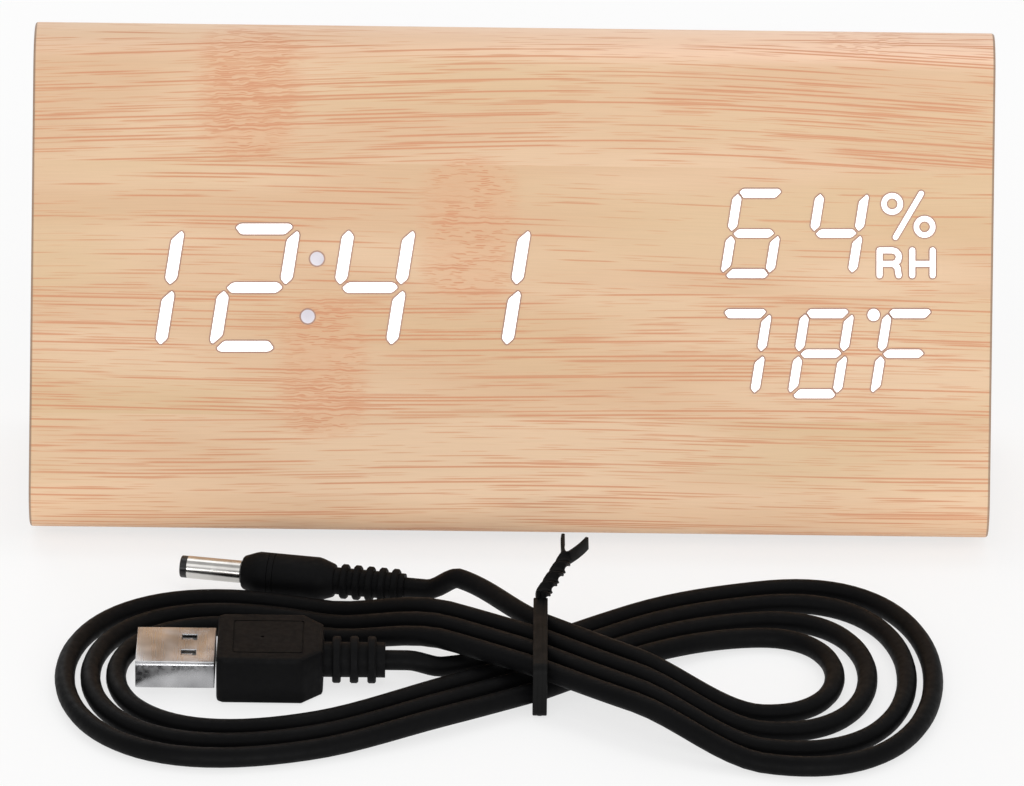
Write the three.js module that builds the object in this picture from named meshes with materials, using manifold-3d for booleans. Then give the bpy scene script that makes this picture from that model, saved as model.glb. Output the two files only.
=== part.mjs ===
// Wooden digital clock: a wedge-shaped case with a light display behind its front wall,
// its works, batteries and rear panel, and its charging lead folded in a hank in front of it.
// Millimetres, +Z up, the face looks along -Y and leans back. The origin is under the middle
// of the case, on the surface that the feet stand on.
import * as THREE from 'three';
import { mergeVertices } from 'three/addons/utils/BufferGeometryUtils.js';
import Module from 'manifold-3d';

const wasm = await Module();
wasm.setup();

// Driving dimensions of the case
const caseWidth = 150;
const faceFlat = 64.9;
const edgeRadius = 7;
const faceLean = THREE.MathUtils.degToRad(25);
const backLean = THREE.MathUtils.degToRad(5);
const wall = 3.5;
const filmSkin = 0.6;
const endPanelThickness = 3.5;
const endPanelInset = 0.4;
const edgeSteps = 8;

// Clearances
const gap = 0.3;
const clearSeat = 0.1;
const overrun = 2;

// Feet
const footHeight = 1.2;
const footRadius = 4;
const footInset = 16;
const footSetBack = 5.5;
const footRimShare = 0.92;
const footChamferShare = 0.3;
const footSteps = 16;

// Display, in its own plane: x to the right, y up the face, from the centre of the face
const displayTurn = THREE.MathUtils.degToRad(0.69);
const digitSlantShare = 0.16;
const segmentShares = { shoulder: 0.3, outerChamfer: 0.6, innerChamfer: 1.1 };
const displayShares = {
  timeDigit: -0.38733, timePitch: 0.12, humidity: 0.25133, temperature: 0.23567, smallPitch: 0.08567,
  degree: 0.376, percent: 0.41233, letters: 0.37933, screw: 0.1133, driver: -0.0667, ribbon: -0.3467,
};
const digitSpreadShares = { time: 0.5267, small: 0.5409 };
const acrossFace = (share) => share * caseWidth;
const timeDigitPitch = acrossFace(displayShares.timePitch);
const timeDigitX = acrossFace(displayShares.timeDigit);
const timeRowY = -1.14;
const smallDigitPitch = acrossFace(displayShares.smallPitch);
const humidityDigitX = acrossFace(displayShares.humidity);
const humidityRowY = 7.3;
const temperatureDigitX = acrossFace(displayShares.temperature);
const temperatureRowY = -11.45;
const timeDigit = { rise: 18.1, bar: 1.8, tip: 0.4 };
timeDigit.spread = timeDigitPitch * digitSpreadShares.time;
const smallDigit = { rise: 12.35, bar: 1.5, tip: 0.35 };
smallDigit.spread = smallDigitPitch * digitSpreadShares.small;
const colonX = timeDigitX + 1.5 * timeDigitPitch;
const colonRise = 9;
const colonDotRadius = 1.07;
const degreeDot = { y: -5.4, radius: 0.92 };
degreeDot.x = acrossFace(displayShares.degree);
const percent = { y: 10.16, ringX: 2.53, ringY: 1.79, ring: 1.87, hole: 0.8, stroke: 1 };
percent.x = acrossFace(displayShares.percent);
const percentSlash = { x: 2.2, y: 3.75 };
const letters = { y: 0.35, width: 4.1, height: 4.75, stroke: 0.86, pitch: 5.15 };
letters.x = acrossFace(displayShares.letters);
const letterShares = { waist: 0.46, bowl: 0.35, curve: 0.6 };
const ringBridge = 0.5;
const roundSteps = 16;

// Layers behind the front wall
const guideWeb = 0.8;
const guideMargin = 0.5;
const reflectorDepth = 3;
const ledBoardThickness = 1.2;
const ledBoardSpare = 1.4;
const ledBoardHalf = caseWidth / 2 - endPanelInset - endPanelThickness - ledBoardSpare;
const ledBoard = { bottom: -21.5, top: 17.5 };
ledBoard.left = -ledBoardHalf;
ledBoard.right = ledBoardHalf;
const boardCorner = 2;
const ledChip = { width: 2, height: 1.2, rise: 0.7 };
const displayScrew = { radius: 1, headRadius: 1.9, headHeight: 1.2, bite: 2.4 };
const displayScrewInset = 2.7;
const displayScrewX = [displayScrewInset - ledBoardHalf, acrossFace(displayShares.screw)];
const displayScrewY = [13, -17];
const driverChip = { y: 0, width: 14, height: 8, thickness: 1.4 };
driverChip.x = acrossFace(displayShares.driver);

// Rear panel, in the plane of the back: x to the right as seen from behind, y up the back
const panelMargin = 11.4;
const panelOpening = { bottom: -26.5, top: 20.5 };
panelOpening.halfWidth = caseWidth / 2 - panelMargin;
const panelCorner = 3;
const panelFlangeSide = 4.8;
const panelFlangeEdge = 2.4;
const panelFlange = 1.3;
const panelPlate = 2;
const panelScrew = { radius: 1, headRadius: 1.7, headHeight: 0.8, length: 4.4 };
const panelScrewPlace = { sink: 0.6, inset: 2.4, rise: 5.5 };
const screwCrownShare = 0.8;
const screwSteps = 10;

// Battery compartment
const cellRadius = 5.25;
const cellLength = 43.7;
const cellNubRadius = 1.9;
const cellNub = 0.8;
const cellEdge = 0.3;
const cellSpace = 0.3;
const cellPitch = 2 * cellRadius + cellSpace;
const cellCount = 3;
const cellSteps = 16;
const traySide = 0.35;
const trayWall = 1.2;
const trayMargin = 5.8;
const trayEnd = 4.2;
const trayRise = 1.8;
const contactPlate = 0.5;
const contactRadius = 3;
const contactTipRadius = 1.8;
const contactTaperShare = 0.8;
const doorThickness = 1.4;
const doorLip = 2.2;
const doorBarrelRadius = 1.1;
const doorPinRadius = 0.8;
const doorPinLength = 1.6;
const doorGripRibs = 4;
const doorGrip = { width: 14, pitch: 1.6, height: 0.35, rib: 0.7, inset: 4 };

// Control board and what it carries
const boardClearance = 3;
const boardMargin = 0.6;
const trayLeft = trayMargin - panelOpening.halfWidth;
const trayRight = trayLeft + cellLength + cellNub + 2 * trayEnd;
const board = { bottom: -24.5, top: 15, depth: 7.4, thickness: 1.6 };
board.left = trayRight + trayWall + boardClearance;
board.right = panelOpening.halfWidth - boardMargin;
const boardShares = { buttons: [0.2182, 0.4537, 0.6892], socket: 0.92, middle: 0.4537, crystal: 0.73 };
const acrossBoard = (share) => board.left + share * (board.right - board.left);
const buttonRowY = 4;
const buttonX = boardShares.buttons.map(acrossBoard);
const button = { radius: 3.2, proud: 0.9, flangeRadius: 4.2, flange: 0.9, stem: 1.4, travel: 0.5 };
const buttonCrownShares = { height: 0.6, radius: 0.86 };
const buttonSteps = 20;
const buttonNames = ['set_button', 'up_button', 'down_button'];
const tact = { size: 6, body: 2.2, plungerRadius: 1.6, plunger: 0.5 };
const socket = { width: 8.4, height: 8.4, nose: 3.3, bore: 1.75, boreDepth: 5.6, pin: 0.55 };
socket.x = acrossBoard(boardShares.socket);
const socketSteps = 20;
const buzzer = { inset: 0.7, y: -14, radius: 4.5, height: 3.8, hole: 1 };
buzzer.x = board.left + buzzer.inset + buzzer.radius;
const coinClip = { width: 6, thickness: 0.5, foot: 2, spare: 0.5 };
const coin = { y: -13.6, radius: 10, thickness: 3.2 };
coin.x = buzzer.x + buzzer.radius + coinClip.spare + coinClip.foot + coinClip.thickness + gap + coin.radius;
const sensor = { y: 12, width: 6, height: 4, thickness: 1.6 };
sensor.x = acrossBoard(boardShares.middle);
const vent = { count: 5, pitch: 2.4, width: 1.1, height: 6, y: 13.2 };
const chip = { y: 4, width: 10, height: 10, thickness: 1.4 };
chip.x = acrossBoard(boardShares.middle);
const crystal = { y: -8, radius: 1.5, length: 7 };
crystal.x = acrossBoard(boardShares.crystal);
const post = { radius: 2.3, holeRadius: 0.9, inset: 3 };
const boardScrew = { radius: 0.75, headRadius: 1.6, headHeight: 1, length: 6 };
const ribbon = { width: 10, thickness: 0.6, pull: 1.8, sag: 7, steps: 10, boardY: 8, backY: 8 };
ribbon.x = acrossFace(displayShares.ribbon);

// Charging lead
const cordRadius = 1.55;
const cordSides = 6;
const leastLoop = 12.4;
const loopSteps = 24;
const hankCentre = { x: 5, y: -66 };
const strandPitch = 3.95;
const layerStep = 3.9;
const waistLift = 0.95;
const waistReach = 14;
const waistFall = 34;
const rightLoops = [
  { reach: 60, height: 23.5 },
  { reach: 56, height: 22.2 },
  { reach: 50, height: 19.8 },
  { reach: 45, height: 17.6 },
];
const leftLoops = [
  { reach: 64.6, height: 20.2 },
  { reach: 68.5, height: 21.2 },
  { reach: 72.4, height: 22.2 },
];
const leftDrop = 2;
const floorClearance = 0.02;
const endPullShare = 0.36;
const endSettleRate = 4.5;

const usb = { x: -23.6, y: -0.6, shellWidth: 12, shellHeight: 4.5, shellLength: 12, shellWall: 0.35 };
const usbTongue = { width: 9.4, thickness: 1.4, length: 10.6, drop: 0.75 };
const usbHole = { width: 1.9, length: 2.3, spread: 5, inset: 4 };
const usbBody = { width: 15.4, height: 7.6, length: 16.2, cut: 3.2, edge: 0.8 };
const usbRelief = { radius: 3.6, neck: 2.7, length: 9.4, rings: 3, ring: 1.3 };
const plugTurn = THREE.MathUtils.degToRad(-10);
const dc = { x: -21, y: 24.4, barrelRadius: 1.75, bore: 0.7, boreDepth: 7, barrel: 9.5 };
const dcBody = { radius: 3.4, length: 14.5, nose: 2.2, noseRadius: 2.6 };
const dcRelief = { radius: 2.7, neck: 2.1, length: 11, rings: 5, ring: 1.1 };
const plugSteps = 12;

const tie = { width: 2.2, thickness: 0.6, corner: 0.8, slack: 1, turns: 2, tail: 12, tip: 5, steps: 14 };
const tieTailShares = { x: 0.33, y: 0.93, z: 0.1, fork: 0.27 };

// Materials
const finish = (color, roughness, metalness = 0, extra = {}) =>
  new THREE.MeshStandardMaterial({ color, roughness, metalness, ...extra });
const wood = finish(0xe6c29c, 0.55);
const woodEnd = finish(0xe2bb92, 0.6);
const blackPlastic = finish(0x1c1c1e, 0.5);
const rubber = finish(0x232323, 0.85);
const diffuser = finish(0xffffff, 0.4, 0, { emissive: 0xffffff, emissiveIntensity: 0.8 });
const dimDiffuser = finish(0xd9cdd6, 0.5);
const whitePlastic = finish(0xeeeeea, 0.5);
const boardGreen = finish(0x1f5b3a, 0.5);
const chipBlack = finish(0x151515, 0.6);
const steel = finish(0xb9bbbd, 0.3, 1);
const nickel = finish(0xc4c2bc, 0.3, 1);
const cellSkin = finish(0x3d4a55, 0.4, 0.3);
const cordRubber = finish(0x141414, 0.6);

// Solids: closed meshes in and out of the boolean kernel
function toSolid(geometry) {
  const bare = new THREE.BufferGeometry();
  bare.setAttribute('position', geometry.getAttribute('position').clone());
  if (geometry.index) bare.setIndex(geometry.index.clone());
  const merged = mergeVertices(bare, 1e-4);
  const place = merged.getAttribute('position');
  const corners = new Uint32Array(merged.index.array);
  const [a, b, c] = [new THREE.Vector3(), new THREE.Vector3(), new THREE.Vector3()];
  let volume = 0;
  for (let i = 0; i < corners.length; i += 3) {
    a.fromBufferAttribute(place, corners[i]);
    b.fromBufferAttribute(place, corners[i + 1]);
    c.fromBufferAttribute(place, corners[i + 2]);
    volume += a.dot(b.cross(c));
  }
  if (volume < 0) corners.reverse();
  return new wasm.Manifold(new wasm.Mesh({
    numProp: 3,
    vertProperties: new Float32Array(place.array),
    triVerts: corners,
  }));
}

function toGeometry(solid) {
  const mesh = solid.getMesh();
  const positions = new Float32Array((mesh.vertProperties.length / mesh.numProp) * 3);
  for (let i = 0; i < positions.length / 3; i += 1) {
    for (let axis = 0; axis < 3; axis += 1) {
      positions[3 * i + axis] = mesh.vertProperties[mesh.numProp * i + axis];
    }
  }
  const geometry = new THREE.BufferGeometry();
  geometry.setAttribute('position', new THREE.BufferAttribute(positions, 3));
  geometry.setIndex(new THREE.BufferAttribute(new Uint32Array(mesh.triVerts), 1));
  geometry.computeVertexNormals();
  return geometry;
}

const union = (solids) => solids.reduce((sum, solid) => sum.add(solid));
const without = (solid, cutters) => cutters.reduce((rest, cutter) => rest.subtract(cutter), solid);

// A box between two corners
function block(x0, x1, y0, y1, z0, z1) {
  const geometry = new THREE.BoxGeometry(x1 - x0, y1 - y0, z1 - z0);
  geometry.translate((x0 + x1) / 2, (y0 + y1) / 2, (z0 + z1) / 2);
  return toSolid(geometry);
}

// An outline in x and y, extruded from z0 to z1
function slab(outline, z0, z1) {
  const shape = outline instanceof THREE.Shape ? outline : new THREE.Shape(outline);
  const geometry = new THREE.ExtrudeGeometry(shape, { depth: z1 - z0, bevelEnabled: false });
  geometry.translate(0, 0, z0);
  return toSolid(geometry);
}

// A round outline, as a polygon
function circle(x, y, radius, steps) {
  const points = [];
  for (let i = 0; i < steps; i += 1) {
    const angle = (2 * Math.PI * i) / steps;
    points.push(new THREE.Vector2(x + radius * Math.cos(angle), y + radius * Math.sin(angle)));
  }
  return points;
}

// A rectangle with round corners, as a polygon
function roundedRectangle(x0, x1, y0, y1, radius, steps = 4) {
  const points = [];
  const corners = [[x1 - radius, y0 + radius, -0.5], [x1 - radius, y1 - radius, 0],
    [x0 + radius, y1 - radius, 0.5], [x0 + radius, y0 + radius, 1]];
  corners.forEach(([x, y, start]) => {
    for (let i = 0; i <= steps; i += 1) {
      const angle = Math.PI * (start + i / (2 * steps));
      points.push(new THREE.Vector2(x + radius * Math.cos(angle), y + radius * Math.sin(angle)));
    }
  });
  return points;
}

const disc = (x, y, radius, z0, z1, steps) => slab(circle(x, y, radius, steps), z0, z1);

// A solid turned about the z axis from pairs of radius and height
function turned(profile, steps) {
  const points = profile.map(([radius, height]) => new THREE.Vector2(radius, height));
  const geometry = new THREE.LatheGeometry(points, steps);
  geometry.rotateX(Math.PI / 2);
  return toSolid(geometry);
}

function moved(solid, matrix) {
  const geometry = toGeometry(solid);
  geometry.applyMatrix4(matrix);
  return toSolid(geometry);
}

const placed = (x, y, z) => new THREE.Matrix4().makeTranslation(x, y, z);

// The object and its frames
const clock = new THREE.Group();

function frame(parent, origin, right, up, out) {
  const group = new THREE.Group();
  group.position.copy(origin);
  group.quaternion.setFromRotationMatrix(new THREE.Matrix4().makeBasis(right, up, out));
  parent.add(group);
  group.updateWorldMatrix(true, false);
  return group;
}

function piece(parent, name, solid, material) {
  const mesh = new THREE.Mesh(toGeometry(solid), material);
  mesh.name = name;
  parent.add(mesh);
  return mesh;
}

// The case's section: three round edges, in y and z
const rise = faceFlat * Math.cos(faceLean);
const backFlat = rise / Math.cos(backLean);
const frontRun = faceFlat * Math.sin(faceLean);
const backRun = rise * Math.tan(backLean);
const caseDepth = frontRun + backRun + 2 * edgeRadius;
const edgeZ = footHeight + edgeRadius;
const frontEdge = new THREE.Vector2(edgeRadius - caseDepth / 2, edgeZ);
const topEdge = new THREE.Vector2(frontEdge.x + frontRun, edgeZ + rise);
const backEdge = new THREE.Vector2(frontEdge.x + frontRun + backRun, edgeZ);
const section = (inset) => {
  const radius = edgeRadius - inset;
  const corners = [[backEdge, -Math.PI / 2, backLean], [topEdge, backLean, Math.PI - faceLean],
    [frontEdge, Math.PI - faceLean, 1.5 * Math.PI]];
  const points = [];
  corners.forEach(([centre, from, to]) => {
    for (let i = 0; i <= edgeSteps; i += 1) {
      const angle = from + ((to - from) * i) / edgeSteps;
      points.push(new THREE.Vector2(radius * Math.cos(angle), radius * Math.sin(angle)).add(centre));
    }
  });
  return points;
};
const alongX = new THREE.Matrix4().makeBasis(
  new THREE.Vector3(0, 1, 0), new THREE.Vector3(0, 0, 1), new THREE.Vector3(1, 0, 0));
const lengthwise = (outline, x0, x1) => moved(slab(outline, x0, x1), alongX);

// Frames of the face and the back, each with z out of the case
const faceUp = new THREE.Vector3(0, Math.sin(faceLean), Math.cos(faceLean));
const faceOut = new THREE.Vector3(0, -Math.cos(faceLean), Math.sin(faceLean));
const faceCentre = new THREE.Vector3(0, (frontEdge.x + topEdge.x) / 2, (frontEdge.y + topEdge.y) / 2)
  .addScaledVector(faceOut, edgeRadius);
const face = frame(clock, faceCentre, new THREE.Vector3(1, 0, 0), faceUp, faceOut);
const display = new THREE.Group();
display.rotation.z = displayTurn;
face.add(display);
display.updateWorldMatrix(true, false);

const backUp = new THREE.Vector3(0, -Math.sin(backLean), Math.cos(backLean));
const backOut = new THREE.Vector3(0, Math.cos(backLean), Math.sin(backLean));
const backCentre = new THREE.Vector3(0, (backEdge.x + topEdge.x) / 2, (backEdge.y + topEdge.y) / 2)
  .addScaledVector(backOut, edgeRadius);
const back = frame(clock, backCentre, new THREE.Vector3(-1, 0, 0), backUp, backOut);

// Display segments: a to g clockwise from the top, then the middle bar
function segmentOutlines(digit) {
  const half = digit.bar / 2;
  const column = digit.spread / 2;
  const row = digit.rise / 2;
  const end = column - digit.tip;
  const tip = row - digit.tip;
  const outer = end - half * segmentShares.outerChamfer;
  const inner = end - half * segmentShares.innerChamfer;
  const shoulder = half * segmentShares.shoulder;
  const across = (y, side) => [[-end, y + side * shoulder], [-outer, y + side * half],
    [outer, y + side * half], [end, y + side * shoulder], [inner, y - side * half], [-inner, y - side * half]];
  const upright = (x, y0, y1) => [[x, y0], [x + half, y0 + half], [x + half, y1 - half],
    [x, y1], [x - half, y1 - half], [x - half, y0 + half]];
  const middle = [[-end, 0], [half - end, half], [end - half, half], [end, 0],
    [end - half, -half], [half - end, -half]];
  return {
    a: across(row, 1),
    b: upright(column, digit.tip, tip),
    c: upright(column, -tip, -digit.tip),
    d: across(-row, -1),
    e: upright(-column, -tip, -digit.tip),
    f: upright(-column, digit.tip, tip),
    g: middle,
  };
}

const slanted = (outline, x, y) =>
  outline.map(([px, py]) => new THREE.Vector2(x + px + digitSlantShare * py, y + py));

function grown(outline, amount) {
  const ring = outline.map((point) => new THREE.Vector2(point[0], point[1]));
  const turn = Math.sign(THREE.ShapeUtils.area(ring));
  return ring.map((point, i) => {
    const before = ring[(i + ring.length - 1) % ring.length];
    const after = ring[(i + 1) % ring.length];
    const along0 = point.clone().sub(before).normalize();
    const along1 = after.clone().sub(point).normalize();
    const out0 = new THREE.Vector2(along0.y * turn, -along0.x * turn);
    const out1 = new THREE.Vector2(along1.y * turn, -along1.x * turn);
    const share = amount / (1 + out0.dot(out1));
    return [point.x + (out0.x + out1.x) * share, point.y + (out0.y + out1.y) * share];
  });
}

// Every light of the display: its outline in the display's plane, whether it is lit
const numerals = { 1: 'bc', 2: 'abged', 4: 'fgbc', 6: 'afgedc', 7: 'abc', 8: 'abcdefg', F: 'aefg' };
const lights = [];
function addDigit(name, digit, numeral, x, y, material = diffuser) {
  const halfWidth = (digit.spread + digit.bar) / 2 + guideMargin;
  const halfHeight = (digit.rise + digit.bar) / 2 + guideMargin;
  const entry = { name, material, segments: [], web: { left: x - halfWidth, right: x + halfWidth,
    bottom: y - halfHeight, top: y + halfHeight, y } };
  Object.entries(segmentOutlines(digit)).forEach(([key, outline]) => {
    entry.segments.push({
      window: slanted(outline, x, y),
      boss: slanted(grown(outline, -gap), x, y),
      lit: numerals[numeral].includes(key),
    });
  });
  lights.push(entry);
  return entry;
}

function dot(x, y, radius) {
  return {
    window: circle(x, y, radius, roundSteps),
    boss: circle(x, y, radius - gap, roundSteps),
    lit: true,
  };
}

[1, 2, 4, 1].forEach((numeral, i) => {
  addDigit(`time_digit_${i + 1}`, timeDigit, numeral, timeDigitX + i * timeDigitPitch, timeRowY);
});
const colonWeb = colonDotRadius + guideMargin;
lights.push({
  name: 'colon_guide',
  material: dimDiffuser,
  segments: [1, -1].map((side) => dot(
    colonX + (side * digitSlantShare * colonRise) / 2, timeRowY + (side * colonRise) / 2, colonDotRadius)),
  web: { left: colonX - colonWeb, right: colonX + colonWeb, bottom: timeRowY - colonRise / 2 - colonWeb,
    top: timeRowY + colonRise / 2 + colonWeb, y: timeRowY },
});
[6, 4].forEach((numeral, i) => {
  addDigit(`humidity_digit_${i + 1}`, smallDigit, numeral,
    humidityDigitX + i * smallDigitPitch, humidityRowY);
});
[7, 8].forEach((numeral, i) => {
  addDigit(`temperature_digit_${i + 1}`, smallDigit, numeral,
    temperatureDigitX + i * smallDigitPitch, temperatureRowY);
});
const degreeSign = addDigit('temperature_sign', smallDigit, 'F',
  temperatureDigitX + 2 * smallDigitPitch, temperatureRowY);
degreeSign.segments.push(dot(degreeDot.x, degreeDot.y, degreeDot.radius));
degreeSign.web.left = degreeDot.x - degreeDot.radius - guideMargin
  - digitSlantShare * (degreeDot.y - temperatureRowY);

// The humidity sign: two rings and a slash over two letters, with fine bridges that hold the
// wood inside each ring
const signWindows = [];
function addStroke(points, width) {
  for (let i = 1; i < points.length; i += 1) {
    const [x0, y0] = points[i - 1];
    const [x1, y1] = points[i];
    const length = Math.hypot(x1 - x0, y1 - y0);
    const across = [(-(y1 - y0) / length) * (width / 2), ((x1 - x0) / length) * (width / 2)];
    const along = [((x1 - x0) / length) * (width / 2), ((y1 - y0) / length) * (width / 2)];
    signWindows.push([[x0 - along[0] + across[0], y0 - along[1] + across[1]],
      [x0 - along[0] - across[0], y0 - along[1] - across[1]],
      [x1 + along[0] - across[0], y1 + along[1] - across[1]],
      [x1 + along[0] + across[0], y1 + along[1] + across[1]]]);
  }
}

const signSolid = (z0, z1, shrink) => {
  signWindows.length = 0;
  const stroke = letters.stroke - 2 * shrink;
  const left = letters.x + letters.stroke / 2;
  const right = letters.x + letters.width - letters.stroke / 2;
  const bottom = letters.y + letters.stroke / 2;
  const top = letters.y + letters.height - letters.stroke / 2;
  const middle = bottom + (top - bottom) * letterShares.waist;
  const bowl = (right - left) * letterShares.bowl;
  const curve = bowl * letterShares.curve;
  addStroke([[left, bottom], [left, top]], stroke);
  addStroke([[left, top], [right - bowl, top], [right, top - bowl], [right, middle + curve],
    [right - curve, middle], [left + ringBridge + letters.stroke, middle]], stroke);
  addStroke([[right - bowl, middle], [right, bottom]], stroke);
  const next = letters.pitch;
  addStroke([[left + next, bottom], [left + next, top]], stroke);
  addStroke([[right + next, bottom], [right + next, top]], stroke);
  addStroke([[left + next, middle], [right + next, middle]], stroke);
  addStroke([[percent.x - percentSlash.x, percent.y - percentSlash.y],
    [percent.x + percentSlash.x, percent.y + percentSlash.y]], percent.stroke - 2 * shrink);
  const strokes = signWindows.map((outline) =>
    slab(outline.map(([x, y]) => new THREE.Vector2(x, y)), z0, z1));
  const rings = [1, -1].map((side) => {
    const x = percent.x - side * percent.ringX;
    const y = percent.y + side * percent.ringY;
    return without(disc(x, y, percent.ring - shrink, z0, z1, roundSteps), [
      disc(x, y, percent.hole + shrink, z0 - overrun, z1 + overrun, roundSteps),
      block(x - percent.ring - overrun, x + percent.ring + overrun, y - ringBridge / 2 - shrink,
        y + ringBridge / 2 + shrink, z0 - overrun, z1 + overrun),
    ]);
  });
  return union([...strokes, ...rings]);
};
const signSlant = digitSlantShare * (letters.y - humidityRowY);
const signWeb = {
  left: letters.x - 2 * guideMargin - signSlant,
  right: letters.x + letters.pitch + letters.width + guideMargin - signSlant,
  bottom: letters.y - guideMargin,
  top: percent.y + percentSlash.y + percent.stroke / 2 + guideMargin,
  y: humidityRowY,
};

function webOutline(web) {
  const corner = (x, y) => new THREE.Vector2(x + digitSlantShare * (y - web.y), y);
  return [corner(web.left, web.bottom), corner(web.right, web.bottom), corner(web.right, web.top),
    corner(web.left, web.top)];
}

// Depths behind the face
const guideTop = -wall - gap;
const guideBottom = guideTop - guideWeb;
const reflectorTop = guideBottom - gap;
const reflectorBottom = reflectorTop - reflectorDepth;
const ledTop = reflectorBottom - gap;
const ledBottom = ledTop - ledBoardThickness;

const screwPlaces = [];
displayScrewX.forEach((x) => displayScrewY.forEach((y) => screwPlaces.push([x, y])));

// Wooden case
const toFace = display.matrixWorld;
const windows = [];
lights.forEach((entry) => entry.segments.forEach((segment) => {
  windows.push(slab(segment.window, -wall - overrun, segment.lit ? overrun : -filmSkin));
}));
windows.push(signSolid(-wall - overrun, overrun, 0));
screwPlaces.forEach(([x, y]) => {
  windows.push(disc(x, y, displayScrew.radius + gap, -wall - overrun, displayScrew.bite - wall, screwSteps));
});

const panelHole = roundedRectangle(-panelOpening.halfWidth, panelOpening.halfWidth,
  panelOpening.bottom, panelOpening.top, panelCorner);
const flangeEdge = (spare) => roundedRectangle(-panelOpening.halfWidth - panelFlangeSide - spare,
  panelOpening.halfWidth + panelFlangeSide + spare, panelOpening.bottom - panelFlangeEdge - spare,
  panelOpening.top + panelFlangeEdge + spare, panelCorner + spare);
const panelScrewX = panelOpening.halfWidth + panelScrewPlace.inset;
const panelScrewY = [panelOpening.bottom + panelScrewPlace.rise, panelOpening.top - panelScrewPlace.rise];
const panelScrewPlaces = [];
[-1, 1].forEach((side) => panelScrewY.forEach((y) => panelScrewPlaces.push([side * panelScrewX, y])));
const backCuts = [
  slab(panelHole, -wall - overrun, overrun),
  slab(flangeEdge(gap), -panelFlange - gap, overrun),
];
const outerCase = lengthwise(section(0), -caseWidth / 2, caseWidth / 2);
const innerCase = lengthwise(section(wall), -caseWidth / 2 - overrun, caseWidth / 2 + overrun);
panelScrewPlaces.forEach(([x, y]) => {
  backCuts.push(disc(x, y, panelScrew.radius + gap, -wall - overrun, overrun, screwSteps));
});
piece(clock, 'case_shell', without(outerCase, [innerCase, ...windows.map((cut) => moved(cut, toFace)),
  ...backCuts.map((cut) => moved(cut, back.matrixWorld))]), wood);

// End panels, let into the two ends
const endOutline = section(wall + gap);
[['left_end_panel', -1], ['right_end_panel', 1]].forEach(([name, side]) => {
  const outside = side * (caseWidth / 2 - endPanelInset);
  const inside = outside - side * endPanelThickness;
  piece(clock, name, lengthwise(endOutline, Math.min(inside, outside), Math.max(inside, outside)), woodEnd);
});

// Feet
[['front', frontEdge.x], ['back', backEdge.x]].forEach(([row, y]) => {
  [['left', -1], ['right', 1]].forEach(([end, side]) => {
    const foot = turned([[0, 0], [footRadius * footRimShare, 0], [footRadius, footHeight * footChamferShare],
      [footRadius, footHeight], [0, footHeight]], footSteps);
    const inward = row === 'front' ? footSetBack : -footSetBack;
    piece(clock, `foot_${row}_${end}`,
      moved(foot, placed(side * (caseWidth / 2 - footInset), y + inward, 0)), rubber);
  });
});

// Light guides: one moulding for each digit or sign
lights.forEach((entry) => {
  const bosses = entry.segments.map((segment) =>
    slab(segment.boss, guideTop - guideWeb / 2, segment.lit ? -gap : -filmSkin - gap));
  const web = slab(webOutline(entry.web), guideBottom, guideTop);
  piece(display, entry.name, union([web, ...bosses]), entry.material);
});
const signGuide = union([slab(webOutline(signWeb), guideBottom, guideTop),
  signSolid(guideTop - guideWeb / 2, -gap, gap / 2)]);
piece(display, 'humidity_sign', signGuide, diffuser);

// Reflector frame with a well behind each light
const boardOutline = roundedRectangle(ledBoard.left, ledBoard.right, ledBoard.bottom, ledBoard.top,
  boardCorner);
const wells = [];
lights.forEach((entry) => entry.segments.forEach((segment) => {
  wells.push(slab(segment.window, reflectorBottom - overrun, reflectorTop + overrun));
}));
wells.push(block(percent.x - percent.ringX, percent.x + percent.ringX, percent.y - percent.ringY,
  percent.y + percent.ringY, reflectorBottom - overrun, reflectorTop + overrun));
wells.push(block(letters.x + letters.stroke, letters.x + letters.pitch + letters.width - letters.stroke,
  letters.y + letters.stroke / 2, letters.y + letters.height - letters.stroke,
  reflectorBottom - overrun, reflectorTop + overrun));
const screwHole = (x, y, z0, z1) => disc(x, y, displayScrew.radius + gap, z0, z1, screwSteps);
const reflectorHoles = screwPlaces.map(([x, y]) =>
  screwHole(x, y, reflectorBottom - overrun, reflectorTop + overrun));
piece(display, 'reflector_frame',
  without(slab(boardOutline, reflectorBottom, reflectorTop), [...wells, ...reflectorHoles]), whitePlastic);

// Display board, with one light chip in each well
const middleOf = (outline) => outline.reduce((sum, point) => sum.add(point), new THREE.Vector2())
  .divideScalar(outline.length);
const chips = lights.flatMap((entry) => entry.segments.map((segment) => {
  const centre = middleOf(segment.window);
  const size = new THREE.Box2().setFromPoints(segment.window).getSize(new THREE.Vector2());
  const wide = size.x > size.y;
  const width = Math.min(wide ? ledChip.width : ledChip.height, size.x / 3);
  const height = Math.min(wide ? ledChip.height : ledChip.width, size.y / 3);
  return block(centre.x - width / 2, centre.x + width / 2, centre.y - height / 2, centre.y + height / 2,
    ledTop - ledBoardThickness / 2, ledTop + ledChip.rise);
}));
const boardHoles = screwPlaces.map(([x, y]) => screwHole(x, y, ledBottom - overrun, ledTop + overrun));
piece(display, 'led_board',
  without(union([slab(boardOutline, ledBottom, ledTop), ...chips]), boardHoles), boardGreen);
screwPlaces.forEach(([x, y], i) => {
  const top = displayScrew.bite - wall - gap;
  const seat = ledBottom - clearSeat;
  const head = seat - displayScrew.headHeight;
  const screw = turned([[0, head], [displayScrew.headRadius, head], [displayScrew.headRadius, seat],
    [displayScrew.radius, seat], [displayScrew.radius, top], [0, top]], screwSteps);
  piece(display, `display_screw_${i + 1}`, moved(screw, placed(x, y, 0)), steel);
});
const driverTop = ledBottom - clearSeat;
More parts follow.
